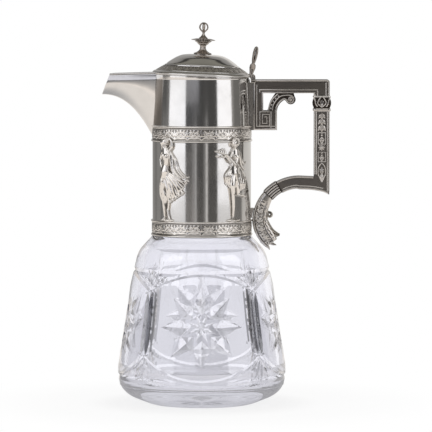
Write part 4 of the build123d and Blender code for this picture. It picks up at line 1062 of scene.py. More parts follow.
def spoutPoint(share, t, inset=0.0):  # share runs from collar to mouth, t across: -1 and 1 at the upper edges
    s = spout
    top = Vector((s["rootX"] + (s["tipX"] - s["rootX"]) * share, 0, s["topZ"] - s["topDrop"] * share))
    swoop = 1 - (1 - share) ** s["swoop"] if share > 0 else s["swoop"] * share
    root = Vector((s["keelX"], 0, s["topZ"] - s["rootDepth"]))
    keel = Vector((root.x + (s["lip"][0] - root.x) * share, 0, root.z + (s["lip"][1] - root.z) * swoop))
    half = s["rootHalf"] + (s["mouthHalf"] - s["rootHalf"]) * share - inset
    down = (keel - top).normalized()
    depth = (keel - top).length - inset
    side, t, strip = (1 if t >= 0 else -1), abs(t), s["stripShare"]
    if t > 1 - strip:
        q = (t - 1 + strip) / strip
        y, d = half - 0.42 * q, s["strip"] * (1 - q)
    else:
        turn = t / (1 - strip) * pi / 2
        y = half * sin(turn) ** 0.92
        d = s["strip"] + (depth - s["strip"]) * cos(turn) ** 1.25
    if t > 1 - 2 * strip:
        y -= 0.16 * sin(pi * limited((1 - t) / (2 * strip)))
    return top + down * d + Vector((0, side * y, 0))


def collarRadius(z):
    line = mount["collar"]
    return float(np.interp(z, [p[1] for p in line], [p[0] for p in line]))


def buildSpout():
    s = spout
    points = []
    along, across = s["along"], s["across"] * 2
    for inset in (0, s["sheet"]):
        for j in range(across + 1):
            t = -1 + j / s["across"]
            low, high = -0.35, 0.6
            for _ in range(26):  # closes in on where this line meets the collar
                middle = (low + high) / 2
                p = spoutPoint(middle, t, inset)
                if hypot(p.x, p.y) < collarRadius(p.z) - s["bite"]:
                    low = middle
                else:
                    high = middle
            points += [spoutPoint(low + (1 - low) * i / along, t, inset) for i in range(along + 1)]
    row, skin = along + 1, (along + 1) * (across + 1)
    faces = gridFaces(along, across)
    faces += [tuple(skin + i for i in face) for face in gridFaces(along, across)]
    for j in range(across):
        faces += [(a, a + row, skin + a + row, skin + a) for a in (j * row, j * row + along)]
    for j in (0, across):
        faces += [(a, skin + a, skin + a + 1, a + 1) for a in range(j * row, j * row + along)]
    piece = makePiece("pouringSpout", points, faces, plate, 35)
    modified(piece, "BEVEL", 32, width=0.00022, segments=2, limit_method="ANGLE", angle_limit=radians(50))
    settle(piece, "jug", "plate_polished", "spout")


def throughSpout():  # the shape of the opening from the collar into the spout
    c = spout["cutter"]
    points = []
    for share in c["shares"]:
        line = [spoutPoint(share, -1 + 2 * j / (c["around"] - 1), spout["sheet"]) for j in range(c["around"])]
        for end in (0, -1):
            line[end] = line[end] + Vector((0, 0, c["lift"]))
        points += line
    return makePiece("throughSpout", points, tubeFaces(len(c["shares"]), c["around"]), plate)


def buildCollar():
    m = mount
    sheet, top = m["sheet"], m["rimTop"]
    outside = smoothLine(m["collar"], 4)
    collar = lathe("collarPlate", outside + [(r - sheet, z) for r, z in reversed(outside)], plate, 256)
    turns = [abs(atan2(y, x)) for x, y, z in coordsOf(collar.data)]
    # painted shade: the collar darkens beside the spout, fading in over 8 degrees
    paintPatinaAndShade(collar, [0.9 * limited((turn - radians(m["paintedShadeFrom"])) / radians(8)) for turn in turns])

    def lean(r, z, turn):
        seam = m["seam"] - m["gap"] - r * cos(turn) * tan(radians(m["tilt"]))
        return (r, z) if z < m["rimLean"] else (r, seam - (top - z))

    r, foot = m["collar"][-1]
    rim = lathe("collarRim", [(r, foot), (r + 0.12, foot + 0.4), (r + 0.12, top - 0.25), (r - 0.1, top),
                              (r - sheet, top), (r - sheet, foot)], plate, 256, wave=lean)
    for piece, node in ((collar, "collar"), (rim, "collar_rim")):
        cutAway(piece, throughSpout(), 35)
        settle(piece, "jug", "plate_polished", node)


buildMount()
buildSpout()
buildCollar()
print("mount built")


# the lid: turned mouldings on the leaning seam
lid = {
    "flange": [(33.6, 0), (36.6, 0), (37.3, 0.35), (37.5, 1), (37.1, 1.75), (36.2, 2.45), (35.3, 2.75),
               (35.15, 2.95), (34.75, 3), (34.7, 3.35), (34.2, 3.4)],
    "flangeUnder": [(33.8, 3.3), (33.2, 2.4)],
    "frieze": (34.3, 3.35, 28, 7.15),
    "friezeGrid": (44, 34),
    "friezeRelief": 0.24,
    "dome": [(28.3, 7.05), (28.2, 7.5), (27.75, 7.75), (27.4, 7.6), (27.15, 7.7), (27, 8.1), (26.2, 8.9),
             (24.6, 10.1), (22.6, 11.45), (20.4, 12.85), (18.2, 13.95), (16.2, 14.75), (14, 15.3), (11, 15.65),
             (8, 15.85), (6.3, 15.95)],
    "domeFoot": (27.3, 6.3),
    "nutHole": 1.5,
    "sheet": 0.9,
    "repeats": 34,
    "notch": [(0, -7.3), (2.45, -7.3), (2.45, 7.3), (0, 7.3)],  # room for the hinge
}
hingePin = (38.581, 248.116)
alongPin = Matrix.Translation((hingePin[0], 0, hingePin[1])) @ Matrix.Rotation(pi / 2, 4, "X")


def friezeMotif(x, y, half):
    return reliefHeight(np.abs(x), y, strokes=[([(0, -3.3), (half, -2.9)], 0.3, 0.7)],
                        leaves=[((0, -3.2), 1.57, 6.2, 2.3, 1), ((0.1, -3.2), 1.05, 4.4, 1.5, 0.8),
                                ((half, 3.3), -1.57, 4.6, 1.5, 0.7)])


def buildFrieze():
    r0, z0, r1, z1 = lid["frieze"]
    span = hypot(r0 - r1, z1 - z0)
    repeats, (nx, ny) = lid["repeats"], lid["friezeGrid"]
    drawn = pi * 31 / repeats  # the motif is drawn at this half width and narrows up the slope
    points, hollows = [], []
    for j in range(ny + 1):
        v = j / ny
        r, z = r0 + (r1 - r0) * v, z0 + (z1 - z0) * v
        half = pi * r / repeats
        u = np.linspace(-half, half, nx + 1)
        y = np.full_like(u, (v - 0.5) * span)
        height = friezeMotif(u * drawn / half, y, drawn)
        ground = 0.1 * np.sin(u * 15 + 2 * np.sin(y * 9)) * np.sin(y * 14) * np.clip((half - abs(u)) / 0.3, 0, 1)
        lift = lid["friezeRelief"] * (height + np.where(height < 0.1, ground, 0)) * min(1, 12 * v, 12 * (1 - v))
        rr, zz = r + (z1 - z0) / span * lift, z + (r0 - r1) / span * lift
        turn = u / r - pi / 2
        points += list(zip(rr * np.cos(turn), rr * np.sin(turn), zz))
        hollows += list(np.clip(0.46 - 0.8 * height + ground, 0, 1))
    unit = makePiece("lidFrieze", points, gridFaces(nx, ny), cast, weld=0, outward=False)
    paintPatinaAndShade(unit, hollows)
    repeatRound(unit, repeats, cast)
    unit.data.transform(Matrix.Scale(mm, 4) @ lidPlace @ Matrix.Scale(1 / mm, 4))
    back = lathe("friezeBack", [(r0 - 0.2, z0 - 0.05), (r1 + 0.1, z1 - 0.12), (r1, z1 - 1.1), (r0 - 1.6, z0 - 0.3)],
                 cast, 192, lidPlace)
    paintPatinaAndShade(back, 0.5)
    settle(joinPieces("lidFriezeRing", [unit, back]), "lid", "plate_cast", "lid_frieze")


def buildLid():
    flange = smoothLine(lid["flange"][:7], 4) + lid["flange"][7:] + lid["flangeUnder"]
    piece = lathe("lidFlange", softCorners(flange, 0.12), plate, 256, lidPlace)
    points, faces = lathePoints(lid["notch"], 48)
    cutAway(piece, makePiece("notch", [alongPin @ p for p in points], faces, plate), 38)
    paintPatinaAndShade(piece)
    settle(piece, "lid", "plate_polished", "lid_flange")
    buildFrieze()
    dome, sheet = lid["dome"], lid["sheet"]
    crown, hole = dome[-1][1], lid["nutHole"]
    outer = dome[:5] + smoothLine(dome[5:], 5)
    inner = [(r - 0.2, z - sheet) for r, z in reversed(outer) if r < 27]
    ring = outer + [(hole, crown), (hole, crown - sheet)] + inner + [lid["domeFoot"]]
    piece = lathe("lidDome", ring, plate, 256, lidPlace, sharp=30)
    paintPatinaAndShade(piece)
    settle(piece, "lid", "plate_polished", "lid_dome")


# the flat tongue of the lid that covers the spout
tongue = {
    "from": -33.9,
    "to": -69.9,
    "play": 0.05,
    "thick": 0.95,
    "crown": 0.15,
    "tipBend": 0.35,
    "bendFrom": 0.86,
    "along": 40,
    "across": 8,
}


def buildTongue():
    g, s = tongue, spout
    across = g["across"]
    points = []
    for i in range(g["along"] + 1):
        x = g["from"] + (g["to"] - g["from"]) * i / g["along"]
        outward = max(0, (-x + s["rootX"]) / (s["rootX"] - s["tipX"]))
        top = s["topZ"] - s["topDrop"] * outward + mount["gap"]
        half = s["rootHalf"] + (s["mouthHalf"] - s["rootHalf"]) * outward - g["play"]
        bend = g["tipBend"] * max(0, outward - g["bendFrom"]) / (1 - g["bendFrom"])
        ys = [-half + 2 * half * j / across for j in range(across + 1)]
        points += [(x, y, top + g["thick"] + g["crown"] * (1 - (y / half) ** 2) - bend) for y in ys]
        points += [(x, y, top) for y in reversed(ys)]
    piece = makePiece("spoutCover", points, tubeFaces(g["along"] + 1, 2 * (across + 1)), plate, 35)
    modified(piece, "BEVEL", 35, width=0.00025, segments=3, limit_method="ANGLE", angle_limit=radians(45))
    settle(piece, "lid", "plate_polished", "lid_tongue")


# the finial: fluted stem, lobed disc, cone and an open bud of crossed straps
finial = {
    "stem": [(0, 16), (6.6, 16), (6.55, 16.4), (5.9, 16.9), (4.6, 17.5), (3.3, 18.4), (2.5, 19.4), (2.15, 20.4),
             (2.05, 21.4), (2.2, 22.2), (2.5, 22.7), (3.1, 23.1), (3.9, 23.6), (4.3, 24.3), (5, 24.9), (6.1, 25.5),
             (6.4, 26), (5.6, 26.2), (0, 26.2)],
    "stemFlutes": 8,
    "disc": [(0, 26.2), (3, 26.2), (4.6, 26.25), (6.6, 26.3), (8.4, 26.45), (9.1, 26.75), (9.1, 26.95), (8.2, 27.2),
             (6.6, 27.55), (5.3, 27.8), (4.4, 27.9), (3.4, 27.8), (3, 27.9), (0, 27.9)],
    "lobes": 8,
    "cone": [(0, 27.8), (3.3, 27.8), (3.35, 28.2), (2.9, 28.7), (2.1, 29.4), (1.5, 30.2), (1.05, 31.1), (0.85, 31.8),
             (1.15, 32.2), (1.1, 32.6), (0, 32.7)],
    "bud": {"foot": 32.4, "top": 40.2, "reach": 3.6, "thick": 1.15, "wide": 1.7, "steps": 72, "sides": 12},
    "pistil": [(0, 32.8), (0.8, 33.3), (1.15, 35.8), (1.2, 37.4), (0.8, 39.2), (0, 39.7)],
}


def lobeDip(count, turn):
    return 0.5 - 0.5 * cos(count * turn)


def flutes(r, z, turn):
    if 16.3 < z < 22.5:
        r *= 1 + 0.07 * cos(finial["stemFlutes"] * turn)
    elif 22.5 <= z < 26.1 and r > 2.4:
        r *= 1 - 0.10 * lobeDip(finial["stemFlutes"], turn)
    return r, z


def petals(r, z, turn):
    share = lobeDip(finial["lobes"], turn)
    dip = 0.55 * share * limited((r - 3) / 5) * (1 if z > 27 else -0.4)
    return r * (1 - 0.13 * share ** 1.4 if r > 5 else 1), z - dip


def eased(profile):  # smooth between its two ends on the axis
    return [profile[0]] + smoothLine(profile[1:-1], 4) + [profile[-1]]


def buildFinial():
    for name, node, profile, steps, wave, rounds, gain in (
            ("finialStem", "finial_stem", eased(finial["stem"]), 96, flutes, 5, 3),
            ("finialPetals", "finial_disc", finial["disc"], 192, petals, 6, 2.5),
            ("finialCone", "finial_cone", eased(finial["cone"]), 64, None, 4, 3)):
        piece = lathe(name, profile, bronzed, steps, lidPlace, wave, closed=False)
        markHollows(piece, rounds, gain, 0.16)
        settle(piece, "lid", "plate_cast", node)
    b = finial["bud"]
    steps, sides, up = b["steps"], b["sides"], Vector((0, 0, 1))
    tall, middle = b["top"] - b["foot"], Vector((0, 0, (b["foot"] + b["top"]) / 2))
    points, faces = [], []
    for turn in (0, pi / 2):
        across, beside = Vector((cos(turn), sin(turn), 0)), Vector((-sin(turn), cos(turn), 0))
        faces += tubeFaces(steps, sides, len(points), looped=True)
        for i in range(steps):
            a = 2 * pi * i / steps
            pinch = 1 - 0.35 * max(0, -sin(a)) ** 2
            centre = middle + across * (b["reach"] - b["thick"] / 2) * cos(a) * pinch \
                + up * (tall / 2 - b["thick"] / 2) * sin(a)
            out = (across * cos(a) + up * sin(a)).normalized()
            for j in range(sides):
                c = 2 * pi * j / sides
                wide = b["wide"] / 2 * sin(c) * (0.75 + 0.25 * abs(cos(a)))
                points.append(centre + out * b["thick"] / 2 * cos(c) + beside * wide)
    pistil, pistilFaces = lathePoints(finial["pistil"], 24)
    faces += [tuple(len(points) + i for i in f) for f in pistilFaces]
    points += pistil
    bud = makePiece("finialBud", [lidPlace @ p for p in points], faces, bronzed)
    markHollows(bud, 3, 3, 0.2)
    settle(bud, "lid", "plate_cast", "finial_bud")


buildLid()
buildTongue()
buildFinial()
print("lid built")


# the handle: a cast square frame with sunk faces, raised edge lines and carved ends
handle = {
    "depth": 9.6,
    "sink": 0.85,
    "back": 39,
    "legRight": 46.6,
    "blockRight": 57,
    "blockLow": 208,
    "blockHigh": 222.9,
    "railLow": 235.9,
    "top": 246.3,
    "gripLeft": 85,
    "reach": 97,
    "calyxTop": 234,
    "calyxFoot": 221.8,
    "gripFoot": 159,
    "armCentre": (74.05, 137.4),
    "armOuter": 35.8,
    "shoulderInner": 27,
    "clasp": (119, 139),
    "corner": 2.3,
    "edgeLine": 0.85,  # from the edge of a face to the middle of its raised line
    "keyLine": 0.8,
    "keyStep": 1.95,
}


def shifted(points, x, z):
    return [(x + u, z + v) for u, v in points]


def flatPlate(name, outline, depth, edge=0.3, y=0.0):  # a plate in the plane of the handle, with eased edges
    curve = bpy.data.curves.new(name, "CURVE")
    curve.dimensions = "2D"
    curve.fill_mode = "BOTH"
    curve.extrude = (depth / 2 - edge) * mm
    curve.bevel_depth = edge * mm
    curve.bevel_resolution = 2
    curve.offset = -edge * mm
    spline = curve.splines.new("POLY")
    spline.points.add(len(outline) - 1)
    for point, (px, pz) in zip(spline.points, outline):
        point.co = (px * mm, pz * mm, 0, 1)
    spline.use_cyclic_u = True
    work = addObject(name, curve)
    mesh = meshFrom(work)
    bpy.data.objects.remove(work)
    bpy.data.curves.remove(curve)
    mesh.transform(Matrix.Translation((0, y * mm, 0)) @ Matrix.Rotation(pi / 2, 4, "X"))
    cleaned(mesh, 1e-6, 1e-7)
    mesh.materials.clear()
    mesh.materials.append(cast)
    mesh.set_sharp_from_angle(angle=radians(35))
    mesh.name = name
    return addObject(name, mesh)


ridgeShape = [(-1, -0.25), (-0.96, 0.45), (-0.72, 0.86), (-0.3, 1), (0.3, 1), (0.72, 0.86), (0.96, 0.45),
              (1, -0.25)]


def ridge(line, width, height, face, level, closed=False, taper=None):  # a raised line on one face
    line = [Vector(p) for p in line]
    count = len(line)
    points = []
    for i, p in enumerate(line):
        d1 = (p - line[i - 1] if i > 0 or closed else line[1] - p).normalized()
        d2 = (line[(i + 1) % count] - p).normalized() if i < count - 1 or closed else d1
        along = (d1 + d2).normalized() if (d1 + d2).length > 1e-6 else d1
        side = Vector((-along.y, along.x))
        spread = 1 / max(0.4, along.dot(d2))
        share = taper(i / (count - 1)) if taper else 1
        for across, lift in ridgeShape:
            q = p + side * across * (width / 2 * spread * share)
            points.append((q.x, face * (level + lift * height * share ** 0.5), q.y))
    return makePiece("ridge", points, tubeFaces(count, len(ridgeShape), looped=closed), cast, 40)


def bothFaces(line, width, height, closed=False, level=handle["depth"] / 2 - handle["sink"]):
    return [ridge(line, width, height, face, level, closed) for face in (-1, 1)]


def shadeSunkFaces(piece, full, amount):  # darkens the ground between the raised lines
    y = np.abs(coordsOf(piece.data)[:, 1]) / mm
    paintPatinaAndShade(piece, np.clip((full - 0.25 - y) / 0.5, 0, 1) * np.clip((y - full + 1.6) / 0.5, 0, 1) * amount)


def buildFrame():
    h = handle
    c, out, sink = h["corner"], h["edgeLine"], h["sink"]
    back, leg, grip, reach = h["back"], h["legRight"], h["gripLeft"], h["reach"]
    block, blockLow, blockHigh = h["blockRight"], h["blockLow"], h["blockHigh"]
    rail, top, calyxTop = h["railLow"], h["top"], h["calyxTop"]
    end = calyxTop - 0.6
    outline = [(back, blockLow), (block, blockLow), (block, blockHigh), (leg, blockHigh), (leg, rail), (grip, rail),
               (grip, calyxTop - 1), (reach, calyxTop - 1)]
    outline += arcLine((reach - c, top - c), c, 0, 90, 6) + [(back, top)]
    parts = [flatPlate("frameCore", outline, h["depth"] - 2 * sink, 0.25)]
    rim = [(reach - out, end)] + arcLine((reach - c, top - c), c - out, 0, 90, 6) \
        + [(back + out, top - out), (back + out, blockLow + out), (block - out, blockLow + out),
           (block - out, blockHigh + 0.4)]
    # each line with its width and its share of the sunk depth
    for line, width, share in (
            (rim, 1.25, 1),
            ([(back + 2.6, top - 3.6), (back + 2.6, blockLow + 2.9), (block - 1.6, blockLow + 2.9)], 0.75, 0.85),
            ([(reach - 2.9, end), (reach - 2.9, top - 2.2)], 1.1, 0.95),
            ([(grip + 0.6, end), (grip + 0.6, rail + 0.6), (leg - 0.6, rail + 0.6), (leg - 0.6, blockHigh - 0.5)],
             1.2, 1),
            ([(grip + 2.7, end), (grip + 2.7, rail + 2.7), (leg - 2.7, rail + 2.7), (leg - 2.7, rail + 0.2)],
             1, 0.95),
            ([(block - 4.6, blockLow + 1.6), (block - 4.6, blockHigh - 0.6)], 0.9, 0.85)):
        parts += bothFaces(line, width, sink * share)
    frame = joinPieces("handleFrame", parts)
    shadeSunkFaces(frame, h["depth"] / 2, 0.62)
    settle(frame, "jug", "plate_cast", "handle_leg", "handle_rail")

    left, right, step = leg - 2.6, block - 5.7, h["keyStep"]
    low, high = blockLow + 3.2, blockHigh - 1.0
    key = [(right, high), (left, high), (left, low), (right, low), (right, high - step), (left + step, high - step),
           (left + step, low + step), (right - step, low + step), (right - step, high - 2 * step),
           (left + 2 * step - 0.3, high - 2 * step)]
    pattern = joinPieces("keyPattern", bothFaces(key, h["keyLine"], sink * 0.95))
    paintPatinaAndShade(pattern)
    settle(pattern, "jug", "plate_cast", "greek_key")


# the scroll bracket in the corner of the frame, drawn from the block's top right corner
bracket = {
    "foot": [(0, -0.3), (0.9, 3), (3, 6), (5.6, 7.8), (7, 6.7)],
    "seat": [(12.6, 13.3), (-1, 13.3)],
    "back": [(-1, 13), (-3.4, 9.6), (-5.4, 4.8), (-6.6, 1.5), (-7.2, -0.3)],
    "curl": (10.4, 8.3),
    "curlRadius": 3.75,
    "under": [(-0.9, 0), (-0.1, 3.4), (2.2, 6.8), (5.2, 8.8), (7.5, 8.1)],
    "over": [(-6.4, 0), (-5.2, 5), (-3, 9.2), (0.6, 12.4)],
    "middle": [(-3.6, 0), (-2.7, 4.2), (-0.4, 8), (3.4, 11), (9.8, 11.5), (13, 9.7)],
    "sink": 1.2,
    "beads": 5,
}


def buildBracket():
    b, depth = bracket, handle["depth"]
    place = (handle["blockRight"], handle["blockHigh"])
    foot, back, under, over, middle = (smoothLine(shifted(b[key], *place), 6)
                                       for key in ("foot", "back", "under", "over", "middle"))
    curl = shifted([b["curl"]], *place)[0]
    outline = foot[:-1] + arcLine(curl, b["curlRadius"], 205, 395, 22) + shifted(b["seat"], *place) + back
    parts = [flatPlate("bracketCore", outline, depth - 2 * b["sink"])]
    lines = [(under[:-1] + spiral(curl, 2.9, 0.5, radians(200), 1.55, 30), 1.15, 0.75, False), (over, 1, 0.7, False),
             (middle, 0.9, 0.65, False)]
    for k in range(b["beads"]):  # small beads between the lines
        t = 0.12 + 0.17 * k
        p = Vector(over[int(t * (len(over) - 1))]).lerp(Vector(middle[int(t * 0.8 * (len(middle) - 1))]), 0.5)
        lines.append((shifted([(-0.35, -0.5), (0, 0), (0.4, 0.45)], p.x, p.y), 1, 0.55, False))
    boss = [(curl[0] + 0.6 * cos(a), curl[1] + 0.6 * sin(a)) for a in np.linspace(0, 2 * pi, 12, endpoint=False)]
    lines.append((boss, 0.9, 0.9, True))
    for line in lines:
        parts += bothFaces(*line, level=depth / 2 - b["sink"])
    piece = joinPieces("scrollBracket", parts)
    shadeSunkFaces(piece, depth / 2 - 0.5, 0.8)
    settle(piece, "jug", "plate_cast", "scroll_bracket")


# the calyx: heights from its top or its foot, with how far each ring stands out
calyx = {
    "cup": [(0.1, 0), (0, 0.55), (-0.8, 0.75), (-1.5, 0.35), (-2.4, 0.55), (-3.8, 1.15), (-5.4, 1.45), (-7, 1.25),
            (-8.4, 0.6), (-9.2, 0.15)],
    "foot": [(2.7, 0.35), (2.3, 0.9), (1.5, 1.1), (0.7, 0.9), (0.35, 0.35), (0, 0.1)],
    "sideShare": 0.74,
    "squareness": 0.22,
    "around": 96,
    "leafFoot": 8.6,
    "leafTall": 8.2,
    "leaf": [(0.1, 0), (3, 0.34), (2.2, 0.7), (0, 1)],
    "tip": [(3.3, 0.04), (4.7, 0.3), (5.2, 0.62), (6.3, 0.98)],
}


def buildCalyx():
    h, g = handle, calyx
    top, foot, around = h["calyxTop"], h["calyxFoot"], g["around"]
    middle = (h["gripLeft"] + h["reach"]) / 2
    rows = [(top + z, proud) for z, proud in g["cup"]] + [(foot + z, proud) for z, proud in g["foot"]]
    points = []
    for z, proud in rows:
        a, b = (h["reach"] - h["gripLeft"]) / 2 + proud * g["sideShare"], h["depth"] / 2 + proud
        for j in range(around):
            t = 2 * pi * j / around
            u, v = (signedPower(value, g["squareness"]) for value in (cos(t), sin(t)))
            points.append((middle + a * u, b * v, z))
    body = makePiece("calyxCup", points, tubeFaces(len(rows), around), cast, 40)
    paintPatinaAndShade(body, [0.8 if foot + 2.9 < z < top - 1.0 else 0.0 for z in coordsOf(body.data)[:, 2] / mm])
    parts = [body]
    x0, z0, tall, level = middle, top - g["leafFoot"], g["leafTall"], h["depth"] / 2 + 0.95
    leafEdge = [(-u, v) for u, v in g["leaf"]] + g["leaf"][-2::-1]
    lines = [(leafEdge, 0.85)] + [([(side * u, v) for u, v in g["tip"]], 1) for side in (-1, 1)]
    for face in (-1, 1):  # one pointed leaf on each face, a half leaf at each corner
        for line, width in lines:
            line = [(x0 + u, z0 + tall * v) for u, v in line]
            parts.append(ridge(smoothLine(line, 4), width, 0.7, face, level))
        for turn in (-0.4, 0, 0.4):  # its ribs
            tip = (x0 + 4.2 * sin(turn), z0 + 0.6 + 4.9 * cos(turn))
            parts.append(ridge([(x0, z0 + 0.3), tip], 0.8, 0.6, face, level, taper=lambda t: 1.1 - 0.7 * t))
    settle(joinPieces("calyx", parts), "jug", "plate_cast", "calyx")


# the ornament cast on both faces of the grip, drawn from its middle
grip = {
    "wide": 7.2,
    "tall": 54,
    "centre": 195.2,
    "grid": (36, 250),
    "relief": 0.78,
    "husks": [(23.3, 4.2), (19, 4.6), (14.2, 5.2)],  # foot and size
    "frames": [(2.2, 10.8), (-11.2, -4)],  # from, to
    "frameHalf": 2.75,
    "lineHalf": 0.32,
    "rosette": (0, -0.6),
    "arch": [(2.7, -21.5), (2.8, -17.5), (2, -14.6), (0, -12.2)],
    "huskGround": 11.6,  # above this the husks darken and their ground stays bright
}


def gripMotif(x, y):
    g = grip
    ax = np.abs(x)
    husks = [((0, foot + size * 0.42), size) for foot, size in g["husks"]]
    height = np.maximum(
        reliefHeight(x, y,
                     leaves=[(root, -pi / 2 - 0.62, size, size * 0.5, 1) for root, size in husks]
                     + [(g["rosette"], pi / 4 * k, 2.7, 1.5, 1) for k in range(8)],
                     beads=[((0, foot + size * 0.4), 0.5, 0.9) for foot, size in g["husks"]]
                     + [(g["rosette"], 0.6, 1.1)]),
        reliefHeight(ax, y,
                     strokes=[(smoothLine(g["arch"], 5), 0.5, 1),
                              ([(2.6, -21), (1.4, -24), (0, -27)], 0.4, 0.8)],
                     leaves=[(root, -pi / 2 + turn, size, size * 0.5, 1)
                             for root, size in husks for turn in (0.62, 0)]
                     + [((0, -20.5), 1.2, 4.4, 1.6, 0.9), ((0, -21.5), 1.57, 6.5, 1.7, 1),
                        ((0, -19.8), -1.57, 6.5, 2.6, 1)]))
    side, line = g["frameHalf"], g["lineHalf"]
    for low, high in g["frames"]:  # small framed panels with a string of beads
        inside = (ax < side) & (y > low) & (y < high)
        edge = (np.abs(ax - side) < line) & (y > low - 0.3) & (y < high + 0.3)
        edge |= (ax < side + 0.25) & ((np.abs(y - low) < line) | (np.abs(y - high) < line))
        beads = beadHeight(x, (y - low) % 1.9, (0, 0.95), 0.75, 0.9)
        stem = strokeHeight(ax, y, [(0.5, low + 1), (1.7, low + 3.2), (0.7, (low + high) / 2)], 0.4, 0.7)
        height = np.maximum.reduce([height, edge * 0.8, beads * inside, stem * inside])
    return height


def gripPanel(face):
    h, g = handle, grip
    (nx, ny), wide, tall = g["grid"], g["wide"], g["tall"]
    x, y = np.meshgrid(np.linspace(-wide / 2, wide / 2, nx + 1), np.linspace(-tall / 2, tall / 2, ny + 1))
    height = gripMotif(x, y)
    border = np.clip(np.minimum((wide / 2 - np.abs(x)) / 0.2, (tall / 2 - np.abs(y)) / 0.2), 0, 1)
    level = h["depth"] / 2 - h["sink"] - 0.05 + g["relief"] * height * border
    middle = (h["gripLeft"] + h["reach"]) / 2
    points = list(zip((middle - face * x).ravel(), (face * level).ravel(), (g["centre"] + y).ravel()))
    row = nx + 1
    rim = list(range(row)) + [row * j + nx for j in range(1, ny + 1)] \
        + [row * ny + i for i in range(nx - 1, -1, -1)] + [row * j for j in range(ny - 1, 0, -1)]
    base, loop = len(points), len(rim)
    points += [(points[i][0], points[i][1] - face * 0.3, points[i][2]) for i in rim]
    faces = gridFaces(nx, ny) + [(rim[i], rim[(i + 1) % loop], base + (i + 1) % loop, base + i) for i in range(loop)]
    faces.append(tuple(range(base, base + loop)))
    panel = makePiece("gripPanel", points, faces, cast, weld=0)
    hollow = np.where(y > g["huskGround"], np.clip(1.3 * height - 0.5, 0, 0.75), np.clip(0.9 - 1.7 * height, 0, 1))
    paintPatinaAndShade(panel, np.concatenate([hollow.ravel(), np.full(loop, 0.9)]))
    return panel


# the lower arm that sweeps from the foot of the grip to the clasp
arm = {
    "under": [(93, 160.7), (88.6, 161.8), (82, 162.7), (74.05, 163)],
    "underRadius": 26.2,
    "over": [(74.05, 173.2), (80, 172.9), (85, 172.6)],
    "overLine": [(80, 172.2), (84.6, 172)],
    "gripEdge": 1.15,
    "gripEdgeWidth": 2.3,
    "gripEdgeFoot": 174.4,
}


def buildGrip():
    h, a = handle, arm
    c, outer, clasp, sink = h["armCentre"], h["armOuter"], h["clasp"][0], h["sink"]
    left, right, foot, head = h["gripLeft"], h["reach"], h["gripFoot"], h["calyxFoot"]
    under = smoothLine([(right - 0.3, foot)] + a["under"], 5) + arcLine(c, a["underRadius"], 92, clasp, 10)[1:]
    over = arcLine(c, outer, clasp, 90, 14) + smoothLine(a["over"], 4)[1:]
    outline = [(right, head + 1), (left, head + 1)] + over[::-1] + under[::-1]
    parts = [flatPlate("gripCore", outline, h["depth"] - 2 * sink, 0.25)]
    edge = a["gripEdge"]
    for line, width, share in (
            ([(right - edge, head + 0.6), (right - edge, foot + 2.2)], a["gripEdgeWidth"], 1),
            ([(left + edge, head + 0.6), (left + edge, a["gripEdgeFoot"])], a["gripEdgeWidth"], 1),
            (shifted(under[1:], 0, 0.9), 1.7, 1), (shifted(under[6:], 0, 2.7), 1, 0.9),
            (arcLine(c, outer - 0.75, clasp, 90, 14) + a["overLine"], 1.5, 1)):
        parts += bothFaces(line, width, sink * share)
    piece = joinPieces("gripAndArm", parts)
    shadeSunkFaces(piece, h["depth"] / 2, 0.6)
    settle(piece, "jug", "plate_cast", "handle_grip", "lower_arm")
    settle(joinPieces("gripOrnament", [gripPanel(face) for face in (-1, 1)]), "jug", "plate_cast")


# the reeded clasp round the arm
clasp = {
    "over": 0.25,
    "under": 0.2,
    "reeds": 5,
    "sideStep": 1.85,
    "topStep": 1.95,
    "topReed": (0.8, 0.55),  # half width and height
    "steps": 10,
    "sides": 8,
}


def buildClasp():
    h, g = handle, clasp
    c, (start, end) = h["armCentre"], h["clasp"]
    outline = arcLine(c, h["armOuter"] + g["over"], start, end, 8) \
        + arcLine(c, h["shoulderInner"] - g["under"], end, start, 8)
    body = flatPlate("claspCore", outline, h["depth"] + 0.2)
    paintPatinaAndShade(body, 0.85)
    parts = [body]
    for k in range(g["reeds"]):
        line = arcLine(c, h["shoulderInner"] + 0.9 + k * g["sideStep"], start + 1.2, end - 1.2, 10)
        parts += bothFaces(line, 1.3, 0.62, level=h["depth"] / 2 + 0.1)
    steps, sides, (half, proud) = g["steps"], g["sides"], g["topReed"]
    for k in range(g["reeds"]):  # the same reeds over the top of the arm
        y = g["topStep"] * (k - (g["reeds"] - 1) / 2)
        points = []
        for i in range(steps + 1):
            turn = radians(start + 1 + (end - start - 2) * i / steps)
            for j in range(sides):
                a = 2 * pi * j / sides
                r = h["armOuter"] + 0.1 + proud * sin(a)
                points.append((c[0] + r * cos(turn), y + half * cos(a), c[1] + r * sin(turn)))
        parts.append(makePiece("claspReed", points, tubeFaces(steps + 1, sides), cast, 60))
    settle(joinPieces("reededClasp", parts), "jug", "plate_cast", "reeded_clasp")


